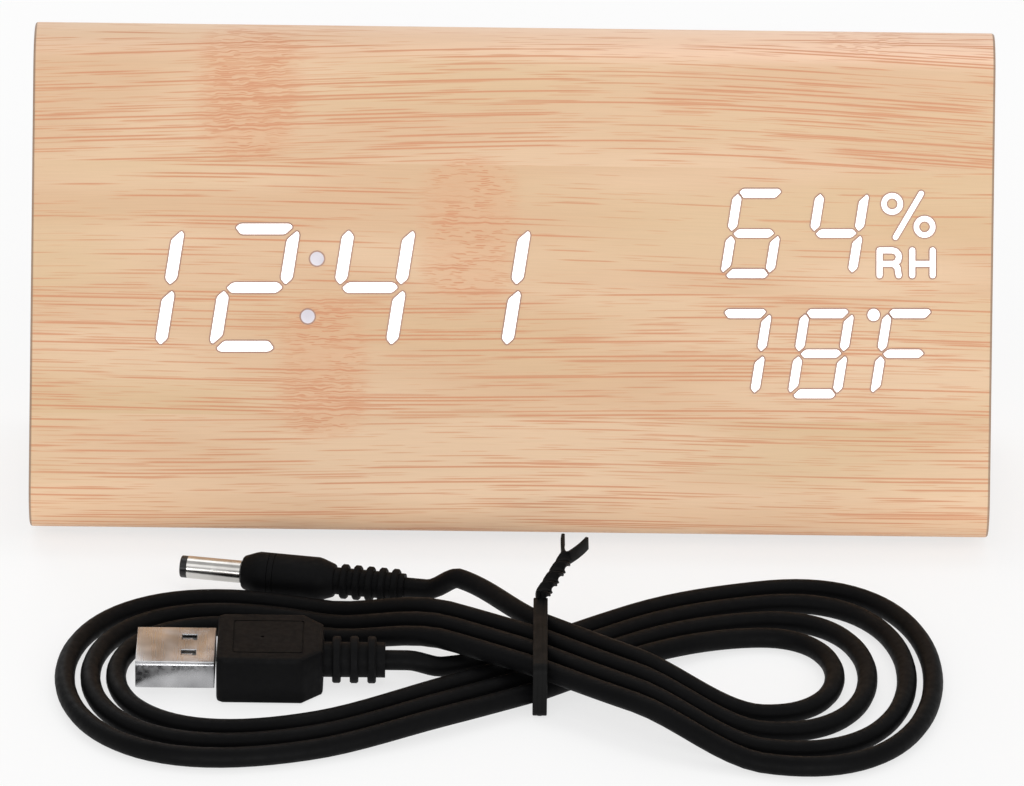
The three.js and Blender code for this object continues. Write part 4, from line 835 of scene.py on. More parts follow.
def add_dc():
    stop = -DC_RELIEF["length"]
    front = stop - DC_BODY
    grip = turned("round_grip", [(0, front), (2.35, front), (2.6, front + 0.25), (3.25, front + 2.0),
                                 (3.4, front + 2.6), (3.4, stop - 2.6), (3.25, stop - 2.0), (2.6, stop - 0.2),
                                 (2.45, stop), (0, stop)], DC_STEPS)
    weld(grip, turned("round_relief", relief_profile(**DC_RELIEF), DC_STEPS))
    for line in DC_LINES:
        z = front + line
        cut(grip, turned("ring", [(3.25, z), (3.6, z - 0.12), (3.6, z + 0.12)], DC_STEPS))
    back = front - GAP
    tip = back - DC_TIP
    ring = tip + DC_BLACK_RING
    sleeve = turned("round_sleeve", [(0.95, ring), (1.75, ring), (1.75, back), (0, back), (0, tip + 7),
                                     (0.7, tip + 7), (0.7, tip + 2.2), (0.95, tip + 2.2)])
    collar = turned("round_tip", [(0.7, tip), (1.58, tip), (1.72, tip + 0.14), (1.72, ring - 0.02),
                                  (0.93, ring - 0.02), (0.93, tip + 2.1), (0.7, tip + 2.1)])
    pieces = [grip, sleeve, collar]
    for piece, angle, *finish in ((grip, 28, "lead_rubber", grip_black, "dc_grip"),
                                  (sleeve, 30, "nickel", nickel, "dc_barrel"),
                                  (collar, 30, "lead_rubber", gloss_black)):
        dress(smooth(seat(piece, DC_PLACE @ ALONG_X), angle), "clock", *finish)
    return pieces


def standing(a, b):
    """True for the long edges of an upright strip."""
    return abs(a.z - b.z) > 1


def divide(piece, cuts):
    pick(piece, "EDGE", standing)
    bpy.ops.mesh.subdivide(number_cuts=cuts)
    mode("OBJECT")


def add_tie():
    """A flat ribbon round the waist, its two tails twisted together and spread at the tips."""
    width, thick, corner, slack = 2.2, 0.6, 0.8, 1.0
    wire_proud, wire_sunk, wire_half = 0.12, 0.2, 0.3
    tail, turns, ribbon, apart = 12, 2, 0.27, 0.34
    tail_way = Vector((0.33, 0.93, 0.1))
    tip_length, tip_lap, tip_bend = 5.2, 0.3, math.radians(-18)
    half = strand_offset(0) + WAIST_SLOPE * width / 2 + CORD_RADIUS / math.cos(math.atan(WAIST_SLOPE)) + slack
    top = REST_Z + WAIST_LIFT + LAYER_STEP + CORD_RADIUS + GAP
    low = FLOOR_CLEARANCE

    def hoop(name, out, inner, rise):
        """A ring round the waist: how far it stands out and reaches in, and half its width."""
        ring = prism(name, rounded(-half - thick - out, half + thick + out, low, top + thick + out,
                                   corner + thick), -rise, rise)
        return cut(ring, prism("core", rounded(inner - half, half - inner, low + thick, top - inner, corner),
                               -width, width))

    band = soften(hoop("band", 0, 0, width / 2), 0.16, 2, 50)
    weld(band, hoop("wire", wire_proud, wire_sunk, wire_half))
    seat(band, ALONG_X)

    # two ribbons side by side, twisted about their common line
    strands = []
    for x in (-apart, apart):
        strand = box("strand", (x - ribbon, -width / 2, 0), (x + ribbon, width / 2, tail))
        round_edges(strand, 0.14, standing, 2)
        divide(strand, 40)
        strands.append(strand)
    twist = together("twist", strands)
    modify(twist, "SIMPLE_DEFORM", deform_method="TWIST", deform_axis="Z", angle=2 * math.pi * turns)
    tips = []
    for side, spread in ((-1, 24), (1, 30)):
        tip = box("tip", (-ribbon, -width / 2, 0), (ribbon, width / 2, tip_length))
        divide(tip, 10)
        soften(tip, 0.1, 2)
        modify(tip, "SIMPLE_DEFORM", deform_method="BEND", deform_axis="Y", angle=side * tip_bend)
        turn = Matrix.Rotation(side * math.radians(spread), 4, "Y")
        tips.append(seat(tip, place_at(side * apart, 0, tail - tip_lap) @ turn))
    tails = together("tails", [twist] + tips)
    turn = tail_way.normalized().to_track_quat("Z", "Y").to_matrix().to_4x4()
    seat(tails, place_at(0, half - corner, top + 1.5 * thick) @ turn)
    tie = seat(together("ribbon_tie", [band, tails]), place_at(*HANK, 0))
    dress(smooth(tie, 40), "clock", "tie_plastic", ribbon_black, "twist_tie")
    return [tie]


cord_pieces = add_usb() + add_dc() + add_tie()
tuple(route[0])


# The case
PANEL_HALF = 63.6
PANEL_BOTTOM, PANEL_TOP = -26.5, 20.5
FLANGE_SIDE, FLANGE_EDGE, FLANGE = 4.8, 2.4, 1.3
PANEL_PLATE, PLATE_STEP = 2, 0.2
PANEL_CORNER = 3
CASE_ROUND = 0.45
SMALL_ROUND = 0.3


def case_strip(name, inside, width, x_middle=0):
    """The case's section, swept round its three edges, as a strip of the given width."""
    radius = EDGE_RADIUS - inside
    alone()
    bpy.ops.mesh.primitive_plane_add(size=MM)
    strip = fresh(name)
    bottom, top = FRONT_EDGE + radius * FACE_OUT, TOP_EDGE + radius * FACE_OUT
    corners = sorted(strip.data.vertices, key=lambda v: (v.co.y, v.co.x))
    for vertex, side, point in zip(corners, (-1, 1, -1, 1), (bottom, bottom, top, top)):
        vertex.co = (point + (side * width / 2 + x_middle) * RIGHT) * MM

    def from_edge(centre, out):
        point = centre + radius * out
        pick(strip, "EDGE", lambda a, b: abs(a.x - b.x) > width - 0.1 and (a - point).yz.length < NEAR)

    def go_round(centre, out, turn, steps):
        from_edge(centre, out)
        bpy.ops.mesh.spin(steps=steps, angle=turn, center=tuple(centre * MM), axis=(1, 0, 0))

    def go_straight(centre, out, run):
        from_edge(centre, out)
        push(*run)

    go_round(TOP_EDGE, FACE_OUT, TOP_TURN, 40)
    go_straight(TOP_EDGE, BACK_OUT, -BACK_FLAT * BACK_UP)
    go_round(BACK_EDGE, BACK_OUT, BACK_TURN, 26)
    go_straight(BACK_EDGE, DOWN, (0, -FRONT_RUN - BACK_RUN, 0))
    go_round(FRONT_EDGE, DOWN, FRONT_TURN, 30)
    outward()
    return strip


def veneer_height(point):
    """Length round the case from the middle of the face, for the veneer's pattern."""
    face_end = FACE_FLAT / 2
    back_start = face_end + EDGE_RADIUS * TOP_TURN
    for centre, start, turn, before in ((TOP_EDGE, math.pi - FACE_LEAN, TOP_TURN, face_end),
                                        (BACK_EDGE, BACK_LEAN, BACK_TURN, back_start + BACK_FLAT)):
        arm = point - centre
        angle = start - math.atan2(arm.z, arm.y)
        if 0 <= angle <= turn and arm.yz.length > EDGE_RADIUS - WALL - 0.2:
            return before + EDGE_RADIUS * angle
    on_face, on_back = point - FACE_CENTRE, point - BACK_CENTRE
    if abs(on_face.dot(FACE_OUT)) < WALL + 1 and abs(on_face.dot(FACE_UP)) <= face_end + 0.5:
        return on_face.dot(FACE_UP)
    if abs(on_back.dot(BACK_OUT)) < WALL + 1:
        return back_start + BACK_FLAT / 2 - on_back.dot(BACK_UP)
    arm = point - FRONT_EDGE
    if arm.y < 0:
        angle = math.atan2(arm.z, arm.y) % (2 * math.pi)
        return -face_end - EDGE_RADIUS * (angle - (math.pi - FACE_LEAN))
    return -face_end - EDGE_RADIUS * FRONT_TURN - arm.y


def lay_veneer(piece):
    layers = piece.data.uv_layers
    while layers:
        layers.remove(layers[0])
    layer = layers.new(name="veneer")
    for loop in piece.data.loops:
        point = piece.data.vertices[loop.vertex_index].co / MM
        layer.data[loop.index].uv = (point.x * MM, veneer_height(point) * MM)


def flange_outline(spare):
    side, rim = PANEL_HALF + FLANGE_SIDE + spare, FLANGE_EDGE + spare
    return rounded(-side, side, PANEL_BOTTOM - rim, PANEL_TOP + rim, PANEL_CORNER + spare)


def opening_outline(spare):
    side = PANEL_HALF - spare
    return rounded(-side, side, PANEL_BOTTOM + spare, PANEL_TOP - spare, PANEL_CORNER - spare)


def outside_line(point):
    """True for a point of the section's outer line, and false for the inner one."""
    for a, b, out in ((FRONT_EDGE, TOP_EDGE, FACE_OUT), (TOP_EDGE, BACK_EDGE, BACK_OUT),
                      (BACK_EDGE, FRONT_EDGE, DOWN)):
        if (point - (a + b) / 2).dot(out) > EDGE_RADIUS - 0.05:
            return True
    reach = min((point - centre).yz.length for centre in (FRONT_EDGE, TOP_EDGE, BACK_EDGE))
    return abs(reach - EDGE_RADIUS) < 0.1


def add_case():
    case = case_strip("wooden_case", 0, CASE_WIDTH)
    modify(case, "SOLIDIFY", thickness=WALL * MM, offset=-1, use_even_offset=True)

    def outer_rim(a, b):
        at_end = abs(abs(a.x) - CASE_WIDTH / 2) < NEAR and abs(a.x - b.x) < NEAR
        return at_end and outside_line(a) and outside_line(b)

    round_edges(case, CASE_ROUND, outer_rim, clamp_overlap=True)
    cut(case, seat(prism("opening", opening_outline(0), -WALL - OVERRUN, OVERRUN), BACK),
        seat(prism("recess", flange_outline(GAP), -FLANGE - GAP, OVERRUN), BACK))
    lay_veneer(case)
    dress(smooth(case), "clock", "case_wood", bamboo, "case_shell")


def add_end_panels():
    outside = CASE_WIDTH / 2 - END_INSET
    for name, side in (("left_end_panel", -1), ("right_end_panel", 1)):
        middle = side * (outside - END_THICKNESS / 2)
        panel = case_strip(name + "_board", WALL + GAP, END_THICKNESS, middle)
        for x in (middle - END_THICKNESS / 2, middle + END_THICKNESS / 2):
            pick(panel, "EDGE", lambda *ends: all(abs(p.x - x) < NEAR for p in ends))
            bpy.ops.mesh.edge_face_add()
            mode("OBJECT")
        pick_all(panel)
        outward()
        round_edges(panel, SMALL_ROUND, lambda *ends: all(abs(abs(p.x) - outside) < NEAR for p in ends))
        dress(smooth(panel), "clock", "end_wood", end_bamboo, name)


add_case()
add_end_panels()


# The lights in the face
SLANT = 0.16
NUMERALS = {"1": "bc", "2": "abged", "4": "fgbc", "6": "afgedc", "7": "abc", "8": "abcdefg", "F": "aefg"}
BIG = dict(spread=9.48, height=18.1, bar=1.8, tip=0.3, level=0.9, middle=0.88)
SMALL = dict(spread=6.95, height=12.5, bar=1.35, tip=0.26, level=1.0, middle=0.92)
LIGHT_RIM = 0.23
LIGHT_PROUD = 0.05
LIGHT_SUNK = 0.2
# The sign's rim starts lower than its lit layer and ends just under it
SIGN_SUNK, SIGN_STEP = 0.1, 0.01
SEGMENT_ROUND = 0.24
# The first digit's middle, and the step to the next one
TIME_X, TIME_Y, TIME_PITCH = -58.1, -1.14, 18
UPPER_X, UPPER_Y, SMALL_PITCH = 37.7, 7.3, 12.85
LOWER_X, LOWER_Y = 35.35, -11.45
DEGREE_DOT = (56.4, -5.4, 0.92)
COLON_X, COLON_RISE, COLON_RADIUS = -31.1, 4.5, 1.07
# The sign: its slash and rings, and the letters under them
SIGN_X, SIGN_Y = 61.8, 10.12
SLASH_X, SLASH_Y, SLASH_BAR = 2.0, 3.4, 0.8
RING_X, RING_Y, RING_RADIUS, RING_HOLE = 2.53, 1.79, 1.67, 0.88
LETTER_LOW, LETTER_HIGH, LETTER_BAR = 0.78, 4.66, 0.87
LETTER_MIDDLE = LETTER_LOW + (LETTER_HIGH - LETTER_LOW) * 0.46
R_LEFT, R_RIGHT, H_LEFT, H_RIGHT = 57.32, 60.45, 62.42, 65.6


def segment_outlines(spread, height, bar, tip, level, middle):
    """The seven segments about a digit's middle; level and middle are the widths of the lying ones."""
    half, column, row = bar / 2, spread / 2, height / 2
    end, reach = column - tip, row - tip
    outer, inner, shoulder = end - half * 0.6, end - half * 1.1, half * 0.3
    slim, knee = half * level, half * middle
    gap, trim = tip + 0.12 * bar, 0.06 * bar
    top, far = reach + 0.1 * bar, end - trim

    def across(y, side):
        y += side * (half - slim)
        return [(-end, y + side * shoulder), (-outer, y + side * slim), (outer, y + side * slim),
                (end, y + side * shoulder), (inner, y - side * slim), (-inner, y - side * slim)]

    def upright(x, y0, y1, low=0.0, high=0.0):
        """A standing bar; low and high shift its tips towards the right."""
        return [(x + low * half, y0), (x + half, y0 + (1 - low) * half), (x + half, y1 - (1 - high) * half),
                (x + high * half, y1), (x - half, y1 - (1 + high) * half), (x - half, y0 + (1 + low) * half)]

    return {"a": across(row, 1), "b": upright(column, gap, top - trim, high=0.5),
            "c": upright(column, -reach - trim, -gap, high=0.45), "d": across(-row, -1),
            "e": upright(-column, -reach, -gap, low=-0.45), "f": upright(-column, gap, top),
            "g": [(-far, 0), (knee - far, knee), (far - knee, knee), (far, 0), (far - knee, -knee),
                  (knee - far, -knee)]}


def grown(outline, amount):
    """The outline moved outwards on every side."""
    area = sum(a[0] * b[1] - b[0] * a[1] for a, b in zip(outline, outline[1:] + outline[:1]))
    turn = 1 if area > 0 else -1
    moved = []
    for i, here in enumerate(outline):
        before, here, after = Vector(outline[i - 1]), Vector(here), Vector(outline[(i + 1) % len(outline)])
        a, b = (Vector((way.y, -way.x)).normalized() * turn for way in (here - before, after - here))
        moved.append(tuple(here + (a + b) * amount / (1 + a.dot(b))))
    return moved


def circle(x, y, radius, steps=32):
    turns = [2 * math.pi * i / steps for i in range(steps)]
    return [(x + radius * math.cos(turn), y + radius * math.sin(turn)) for turn in turns]


def stroke(x0, y0, x1, y1, width, steps=8):
    """A bar between two points with round ends."""
    line = Vector((x1 - x0, y1 - y0))
    angle = math.atan2(line.y, line.x)
    points = []
    for x, y, start in ((x1, y1, -0.5), (x0, y0, 0.5)):
        for i in range(steps + 1):
            turn = angle + math.pi * (start + i / steps)
            points.append((x + width / 2 * math.cos(turn), y + width / 2 * math.sin(turn)))
    return points


def two_tone(piece, lit_faces):
    """Gives the glow to these faces and the rim's finish to all others."""
    for material in (glow, film_edge):
        piece.data.materials.append(material)
    for face in piece.data.polygons:
        face.material_index = 0 if face.index in lit_faces else 1
    return piece


def light_plate(outline, roundness=0):
    """One light: a thin plate with rounded corners and a fine dark rim round its lit face."""
    plate = prism("plate", outline, -LIGHT_SUNK, LIGHT_PROUD)
    if roundness:
        round_edges(plate, roundness, lambda a, b: abs(a.z - b.z) > 0.1, clamp_overlap=True)
    inset(plate, LIGHT_RIM, lambda middle, normal: normal.z > 0.9)
    lit_face = max((face for face in plate.data.polygons if face.normal.z > 0.9), key=lambda face: face.area)
    return two_tone(plate, {lit_face.index})


def dot_plate(x, y, radius):
    return light_plate(circle(x, y, radius + LIGHT_RIM))


def add_lights(node, plates, slot="lit_guide", light=glow):
    dress(seat(together(node + "_lights", plates), FACE), "clock", slot, [light, film_edge], node)


def add_digit(node, numeral, x, y, size, dots=()):
    plates = []
    for key, outline in segment_outlines(**size).items():
        if key in NUMERALS[numeral]:
            slanted = [(x + px + SLANT * py, y + py) for px, py in grown(outline, LIGHT_RIM)]
            plates.append(light_plate(slanted, SEGMENT_ROUND * size["bar"]))
    add_lights(node, plates + [dot_plate(*dot) for dot in dots])


def add_number(node, digits, x, y, pitch, size):
    for i, numeral in enumerate(digits):
        add_digit(f"{node}_{i + 1}", numeral, x + pitch * i, y, size)


def add_colon():
    dots = [dot_plate(COLON_X + SLANT * rise, TIME_Y + rise, COLON_RADIUS)
            for rise in (-COLON_RISE, COLON_RISE)]
    add_lights("colon_guide", dots, "dim_guide", glow_dim)


def sign_layer(grow, z0, z1):
    """The slash, both rings and both letters, every stroke widened by the same amount."""
    shapes = [prism("slash", stroke(SIGN_X - SLASH_X, SIGN_Y - SLASH_Y, SIGN_X + SLASH_X, SIGN_Y + SLASH_Y,
                                    SLASH_BAR + 2 * grow), z0, z1)]
    for side in (-1, 1):
        place = (SIGN_X + side * RING_X, SIGN_Y - side * RING_Y)
        disc = barrel("ring", RING_RADIUS + grow, z0, z1, 40, place)
        shapes.append(cut(disc, barrel("hole", RING_HOLE - grow, z0 - 1, z1 + 1, 32, place)))

    def letter(name, *paths):
        lines = [(*a, *b) for path in paths for a, b in zip(path, path[1:])]
        first, *others = [prism(name, stroke(*line, LETTER_BAR + 2 * grow), z0, z1) for line in lines]
        shapes.append(weld(first, *others))

    low, middle, high, right = LETTER_LOW, LETTER_MIDDLE, LETTER_HIGH, R_RIGHT
    bowl = ((R_LEFT, high), (right - 1.1, high), (right - 0.55, high - 0.18), (right - 0.2, high - 0.6),
            (right - 0.12, high - 1.05), (right - 0.25, middle + 0.5), (right - 0.62, middle + 0.12),
            (right - 1.1, middle), (R_LEFT, middle))
    leg = ((right - 1.0, middle), (right - 0.35, middle - 0.55), (right - 0.15, low))
    letter("r", ((R_LEFT, low), (R_LEFT, high)), bowl, leg)
    letter("h", ((H_LEFT, low), (H_LEFT, high)), ((H_RIGHT, low), (H_RIGHT, high)),
           ((H_LEFT, middle), (H_RIGHT, middle)))
    return shapes


def add_humidity_sign():
    """Its rim is a wider layer just under the lit one."""
    rims = together("sign_rim", sign_layer(LIGHT_RIM, -LIGHT_SUNK, LIGHT_PROUD - SIGN_STEP))
    faces = together("sign_face", sign_layer(0, -SIGN_SUNK, LIGHT_PROUD))
    add_lights("humidity_sign", [two_tone(faces, range(len(faces.data.polygons))), two_tone(rims, ())])


add_number("time_digit", "1241", TIME_X, TIME_Y, TIME_PITCH, BIG)
add_colon()
add_number("humidity_digit", "64", UPPER_X, UPPER_Y, SMALL_PITCH, SMALL)
add_number("temperature_digit", "78", LOWER_X, LOWER_Y, SMALL_PITCH, SMALL)
add_digit("temperature_sign", "F", LOWER_X + 2 * SMALL_PITCH, LOWER_Y, SMALL, [DEGREE_DOT])
add_humidity_sign()


# The back: panel, battery door, cells, buttons, socket, screws and feet
TRAY_LEFT, TRAY_RIGHT, TRAY_BOTTOM, TRAY_TOP = -57.8, -4.9, -24.7, 8.1
TRAY_FLOOR, TRAY_WALL, TRAY_START = -12.85, 1.2, -1
DOOR_LEFT, DOOR_RIGHT, HINGE_Y, DOOR_TOP = -60.0, -2.7, -23.6, 10.3
DOOR_MIDDLE = (DOOR_LEFT + DOOR_RIGHT) / 2
DOOR_THICKNESS, DOOR_BARREL = 1.4, 1.1
DOOR_PIN, DOOR_PIN_LENGTH = 0.8, 1.6
POSTS = ((2.3, 12.0), (60.0, -21.5))
POST_RADIUS, POST_DEPTH, POST_HOLE = 2.3, 7.1, 0.9
SCREW_X = PANEL_HALF + 2.4
SCREW_ROWS = (PANEL_BOTTOM + 5.5, PANEL_TOP - 5.5)
PANEL_SCREWS = [(side * SCREW_X, y) for side in (-1, 1) for y in SCREW_ROWS]
SCREW_HOLE, SCREW_SEAT, SCREW_SEAT_DEPTH = 1.3, 2, 0.6
CROSS_LENGTH, CROSS_WIDTH, CROSS_DEPTH = 0.95, 0.17, 0.22
# The screws stand turned by these degrees, each one further than the last
FIRST_TURN, NEXT_TURN = 17, 31
BUTTON_ROW = 4
BUTTONS = (("set_button", "set_key", 13.199), ("up_button", "up_key", 28.201),
           ("down_button", "down_key", 43.202))
BUTTON_HOLE, SOCKET_HOLE, BUZZER_HOLE_RADIUS = 3.5, 3.6, 1
SOCKET = (57.904, BUTTON_ROW)
SOCKET_HALF, SOCKET_BACK, SOCKET_FRONT = 4.2, -7.38, -2.3
SOCKET_BORE, SOCKET_BORE_FLOOR = 3.2, -6.3
BUZZER_HOLE = (4.5, -14)
VENT_X, VENT_Y, VENT_PITCH, VENT_COUNT = 28.201, 13.2, 2.4, 5
VENT_HALF, VENT_RISE, VENT_CORNER = 0.55, 3, 0.5
REST_HALF, REST_TOP, REST_CORNER, REST_DEPTH = 8.6, 8.0, 2.5, 0.3
RIB_COUNT, RIB_HALF, RIB_RISE, RIB_ROOT, RIB_PITCH, RIBS_BELOW_TOP = 4, 7, 0.35, 0.5, 1.6, 4
CELL_PITCH, CELL_MIDDLE, CELL_SPARE, CELL_Z = 10.8, -8.3, 4.2, -7.25
CELL_BARE, CELL_BARE_LOW, CELL_BARE_HIGH = 4.55, 0.2, 43
FOOT_FROM_EDGE, FOOT_FROM_END = 5.5, 16


def lying(name, radius, x0, x1, y, z, sides=32):
    """A round bar along x."""
    return seat(barrel(name, radius, x0, x1, sides), place_at(0, y, z) @ ALONG_X)


def drilled(radius, sides, places, low=-PANEL_PLATE - 1):
    """Round holes to be cut through the panel."""
    return [barrel("hole", radius, low, OVERRUN, sides, place) for place in places]


def add_rear_panel():
    panel = prism("rear_panel_moulding", flange_outline(0), -FLANGE, 0)
    round_edges(panel, SMALL_ROUND, lambda *ends: all(abs(p.z) < NEAR for p in ends))
    posts = [barrel("post", POST_RADIUS, -POST_DEPTH, TRAY_START, 32, place) for place in POSTS]
    weld(panel, prism("plate", opening_outline(GAP), -PANEL_PLATE, -PLATE_STEP),
         box("tray", (TRAY_LEFT - TRAY_WALL, TRAY_BOTTOM - TRAY_WALL, TRAY_FLOOR - TRAY_WALL),
             (TRAY_RIGHT + TRAY_WALL, TRAY_TOP + TRAY_WALL, TRAY_START)),
         together("posts", posts))
    cut(panel, box("tray_space", (TRAY_LEFT, TRAY_BOTTOM, TRAY_FLOOR), (TRAY_RIGHT, TRAY_TOP, OVERRUN)),
        box("door_seat", (DOOR_LEFT - GAP, HINGE_Y, -DOOR_THICKNESS - GAP),
            (DOOR_RIGHT + GAP, DOOR_TOP + GAP, OVERRUN)),
        box("barrel_seat", (DOOR_LEFT - GAP, TRAY_BOTTOM - GAP, -2 * DOOR_BARREL - GAP),
            (DOOR_RIGHT + GAP, HINGE_Y + DOOR_BARREL, OVERRUN)),
        lying("pin_seat", DOOR_PIN + GAP / 6, DOOR_LEFT - DOOR_PIN_LENGTH - 2 * GAP,
              DOOR_RIGHT + DOOR_PIN_LENGTH + 2 * GAP, HINGE_Y, -DOOR_BARREL))
    holes = drilled(SCREW_HOLE, 24, PANEL_SCREWS)
    holes += [barrel("hole", POST_HOLE, -POST_DEPTH - 0.9, -PANEL_PLATE, 20, place) for place in POSTS]
    holes += drilled(BUTTON_HOLE, 56, [(x, BUTTON_ROW) for _, _, x in BUTTONS])
    holes += drilled(SOCKET_HOLE, 56, [SOCKET]) + drilled(BUZZER_HOLE_RADIUS, 28, [BUZZER_HOLE])
    for i in range(VENT_COUNT):
        x = VENT_X + (i - (VENT_COUNT - 1) / 2) * VENT_PITCH
        slot = rounded(x - VENT_HALF, x + VENT_HALF, VENT_Y - VENT_RISE, VENT_Y + VENT_RISE, VENT_CORNER, 5)
        holes.append(prism("slot", slot, -PANEL_PLATE - 1, OVERRUN))
    cut(panel, together("holes", holes),
        together("seats", drilled(SCREW_SEAT, 36, PANEL_SCREWS, -SCREW_SEAT_DEPTH)))
    seat(soften(panel, 0.1, 2, 40), BACK)
    dress(smooth(panel), "clock", "black_plastic", black, "rear_panel")


def add_battery_door():
    door = box("battery_cover", (DOOR_LEFT, HINGE_Y, -DOOR_THICKNESS), (DOOR_RIGHT, DOOR_TOP, 0))
    round_edges(door, SMALL_ROUND, lambda a, b: a.z > -0.1 and b.z > -0.1
                and not (a.y < HINGE_Y + 0.1 and b.y < HINGE_Y + 0.1))
    weld(door, lying("knuckle", DOOR_BARREL, DOOR_LEFT, DOOR_RIGHT, HINGE_Y, -DOOR_BARREL),
         lying("pin", DOOR_PIN, DOOR_LEFT - DOOR_PIN_LENGTH, DOOR_RIGHT + DOOR_PIN_LENGTH,
               HINGE_Y, -DOOR_BARREL))
    # a thumb rest sunk into the cover, with ribs across it
    rest = rounded(DOOR_MIDDLE - REST_HALF, DOOR_MIDDLE + REST_HALF, 0, REST_TOP, REST_CORNER, 6)
    cut(door, prism("thumb_rest", rest, -REST_DEPTH, OVERRUN))
    rib = prism("rib", rounded(DOOR_MIDDLE - RIB_HALF, DOOR_MIDDLE + RIB_HALF, -RIB_RISE, RIB_RISE,
                               RIB_RISE - NEAR, 4), -RIB_ROOT, REST_DEPTH)
    ribs = [soften(rib, 0.12, 2)] + [copy_of(rib, "rib") for _ in range(RIB_COUNT - 1)]
    for i, one in enumerate(ribs):
        seat(one, place_at(0, DOOR_TOP - RIBS_BELOW_TOP - RIB_PITCH * i, 0))
    weld(door, *ribs)
    seat(soften(door, 0.08, 2, 40), BACK)
    dress(smooth(door), "door", "black_plastic", black, "battery_door")


def add_buttons():
    key = turned("round_key", [(0, -4.03), (1.4, -4.03), (1.4, -3.2), (4.15, -3.2), (4.2, -3.12),
                               (4.2, -2.3), (3.2, -2.3), (3.2, 0.42), (3.14, 0.62), (2.98, 0.78),
                               (2.7, 0.87), (2.4, 0.9), (1.6, 0.84), (0.8, 0.79), (0, 0.77)], 64)
    repeat(key, [(node + "_key", BACK @ place_at(x, BUTTON_ROW, 0), body, "black_plastic", gloss_black, node)
                 for node, body, x in BUTTONS])


def add_charging_socket():
    x, y = SOCKET
    body = box("socket_block", (x - SOCKET_HALF, y - SOCKET_HALF, SOCKET_BACK),
               (x + SOCKET_HALF, y + SOCKET_HALF, SOCKET_FRONT))
    cut(body, barrel("bore", SOCKET_BORE, SOCKET_BORE_FLOOR, OVERRUN, 56, SOCKET))
    nose = turned("nose", [(0, -6.4), (3.3, -6.4), (3.3, -0.55), (3.05, -0.3), (2.1, -0.3), (1.75, -0.6),
                           (1.75, -5.9), (0, -5.9)], 56)
    weld(body, seat(nose, place_at(x, y, 0)))
    seat(soften(body, 0.1, 2, 40), BACK)
    dress(smooth(body), "clock", "component_black", gloss_black, "charging_socket")
    pin = turned("socket_pin", [(0, -6.1), (0.55, -6.1), (0.55, -2.35), (0.42, -2.13), (0.2, -2.05),
                                (0, -2.05)], 28)
    sleeve = turned("socket_contact", [(1.62, -5.7), (1.74, -5.7), (1.74, -1.1), (1.62, -1.1)], 56)
    for piece in (pin, sleeve):
        dress(smooth(seat(piece, BACK @ place_at(x, y, 0))), "clock", "nickel", nickel)


def add_panel_screws():
    screw = turned("cross_screw", [(0, -4.98), (0.55, -4.98), (1, -4.3), (1, -0.58), (1.7, -0.58),
                                   (1.7, -0.25), (1.62, -0.05), (1.36, 0.12), (0.8, 0.2), (0, 0.22)], 40)
    for x, y in ((CROSS_LENGTH, CROSS_WIDTH), (CROSS_WIDTH, CROSS_LENGTH)):
        cut(screw, box("slot", (-x, -y, -CROSS_DEPTH), (x, y, OVERRUN)))
    soften(screw, 0.04, 1, 40)
    copies = []
    for i, (x, y) in enumerate(PANEL_SCREWS):
        turn = Matrix.Rotation(math.radians(FIRST_TURN + NEXT_TURN * i), 4, "Z")
        copies.append((f"rear_screw_{i + 1}", BACK @ place_at(x, y, 0) @ turn,
                       "clock", "steel", steel, f"panel_screw_{i + 1}"))
    repeat(screw, copies)


def add_cells():
    cell = turned("dry_cell", [(0, 0), (4.3, 0), (4.5, 0.12), (4.7, 0.12), (5.1, 0.05), (5.25, 0.22),
                               (5.25, 43.45), (5.12, 43.66), (4.6, 43.7), (4.5, 43.5), (2.3, 43.5),
                               (1.95, 43.62), (1.9, 44.3), (1.7, 44.5), (0, 44.5)], 56)
    # both ends are bare metal, and the wrap is folded over their rims
    for face in cell.data.polygons:
        middle = face.center / MM
        bare = middle.xy.length < CELL_BARE and not CELL_BARE_LOW <= middle.z <= CELL_BARE_HIGH
        face.material_index = 1 if bare else 0
    copies = []
    for i, flip in enumerate((1, -1, 1)):
        start = TRAY_LEFT + CELL_SPARE if flip > 0 else TRAY_RIGHT - CELL_SPARE
        place = place_at(start, CELL_MIDDLE + (i - 1) * CELL_PITCH, CELL_Z)
        copies.append((f"dry_cell_{i + 1}", BACK @ place @ Matrix.Rotation(flip * math.pi / 2, 4, "Y"),
                       "clock", "cell_skin", [cell_wrap, steel], f"battery_cell_{i + 1}"))
    repeat(cell, copies)


def add_feet():
    foot = turned("rubber_foot", [(0, 0.12), (2.3, 0.12), (2.5, 0), (3.45, 0), (3.78, 0.12), (3.95, 0.4),
                                  (4, 0.8), (4, FOOT_HEIGHT), (0, FOOT_HEIGHT)], 56)
    copies = []
    for row, y in (("front", FRONT_EDGE.y + FOOT_FROM_EDGE), ("back", BACK_EDGE.y - FOOT_FROM_EDGE)):
        for end, side in (("left", -1), ("right", 1)):
            place = place_at(side * (CASE_WIDTH / 2 - FOOT_FROM_END), y, 0)
            copies.append((f"rubber_foot_{row}_{end}", place,
                           "clock", "foot_rubber", rubber, f"foot_{row}_{end}"))
    repeat(foot, copies)


add_rear_panel()
add_battery_door()
add_buttons()
add_charging_socket()
add_panel_screws()
add_cells()
add_feet()


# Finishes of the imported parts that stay
def paint(material, *names):
    for name in names:
        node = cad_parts[name]
        if node.material_slots:
            for slot in node.material_slots:
                slot.material = material
        else:
            node.data.materials.append(material)


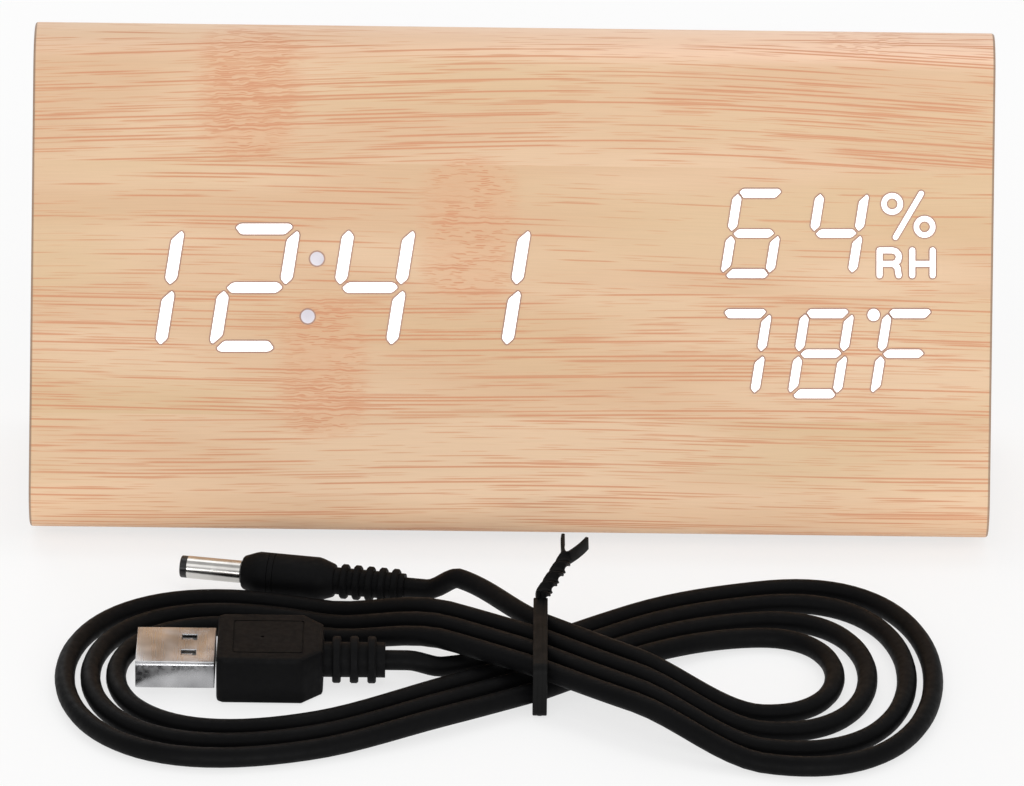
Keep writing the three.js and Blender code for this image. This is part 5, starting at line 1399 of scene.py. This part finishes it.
paint(white_plastic, "reflector_frame", "ribbon_cable", "climate_sensor")
paint(board_green, "led_board", "control_board")
paint(chip_black, "display_driver", "microcontroller", "buzzer",
      "tact_switch_1", "tact_switch_2", "tact_switch_3")
paint(steel, "display_screw_1", "display_screw_2", "display_screw_3", "display_screw_4", "board_screw_1",
      "board_screw_2", "coin_cell", "coin_cell_clip", "crystal", "contact_strip_left", "contact_strip_right")


# Floor, world and lamps
FLOOR_SIZE, FLOOR_Z = 8, -0.0001
FLOOR_SHINE = 0.72
WORLD_LIGHT, WORLD_SEEN = 0.55, 1.0
# Each lamp's place, the height on the z axis that it aims at, its size and its power, in metres and watts
LAMPS = {"key_lamp": ((-0.35, -0.75, 0.85), 0.03, (0.7, 0.5), 1.0),
         "fill_lamp": ((0.6, -0.5, 0.6), 0.03, (0.6, 0.6), 0.85),
         "top_lamp": ((0.05, 0.25, 0.9), 0.05, (0.9, 0.4), 1.6),
         "back_lamp": ((-0.2, 0.9, 0.5), 0.03, (0.8, 0.5), 2.6),
         "low_lamp": ((0.05, -0.9, 0.12), 0.01, (0.9, 0.2), 3.2)}


def add_floor():
    alone()
    bpy.ops.mesh.primitive_plane_add(size=FLOOR_SIZE, location=(0, 0, FLOOR_Z))
    floor = fresh("floor")
    f = Finish("pale_floor")
    pale = f.blend(f.noise(f.place(), 3, 2, 0.5), tone(250, 250, 250), tone(253, 253, 253))
    f.set(Base_Color=pale, Roughness=0.9, Specular_IOR_Level=0.0)
    shine = f.feed(f.add("ShaderNodeEmission"), Color=WHITE)
    path = f.add("ShaderNodeLightPath").outputs
    seen = f.math("MAXIMUM", path["Is Camera Ray"],
                  f.math("MAXIMUM", path["Is Glossy Ray"], path["Is Transmission Ray"]))
    mix = f.feed(f.add("ShaderNodeMixShader"), f.times(seen, FLOOR_SHINE),
                 f.shader.outputs[0], shine.outputs[0])
    f.feed(f.nodes["Material Output"], Surface=mix.outputs[0])
    floor.data.materials.append(f.material)


def add_world():
    world = bpy.data.worlds.new("studio")
    bpy.context.scene.world = world
    world.use_nodes = True
    w = Tree(world.node_tree)
    w.nodes.clear()
    plain, seen = (w.feed(w.add("ShaderNodeBackground"), Color=WHITE, Strength=strength).outputs[0]
                   for strength in (WORLD_LIGHT, WORLD_SEEN))
    path = w.add("ShaderNodeLightPath").outputs
    seen_at_all = w.math("MAXIMUM", path["Is Camera Ray"], path["Is Transmission Ray"])
    mix = w.feed(w.add("ShaderNodeMixShader"), seen_at_all, plain, seen)
    w.feed(w.add("ShaderNodeOutputWorld"), Surface=mix.outputs[0])


def add_lamp(name, place, height, size, power):
    data = bpy.data.lights.new(name, "AREA")
    data.shape = "RECTANGLE"
    data.size, data.size_y = size
    data.energy = power
    lamp = bpy.data.objects.new(name, data)
    bpy.context.collection.objects.link(lamp)
    aim = Vector((0, 0, height)) - Vector(place)
    lamp.matrix_world = Matrix.Translation(Vector(place)) @ aim.to_track_quat("-Z", "Y").to_matrix().to_4x4()


add_floor()
add_world()
for name, settings in LAMPS.items():
    add_lamp(name, *settings)

bpy.context.scene.view_settings.view_transform = "Standard"

alone()
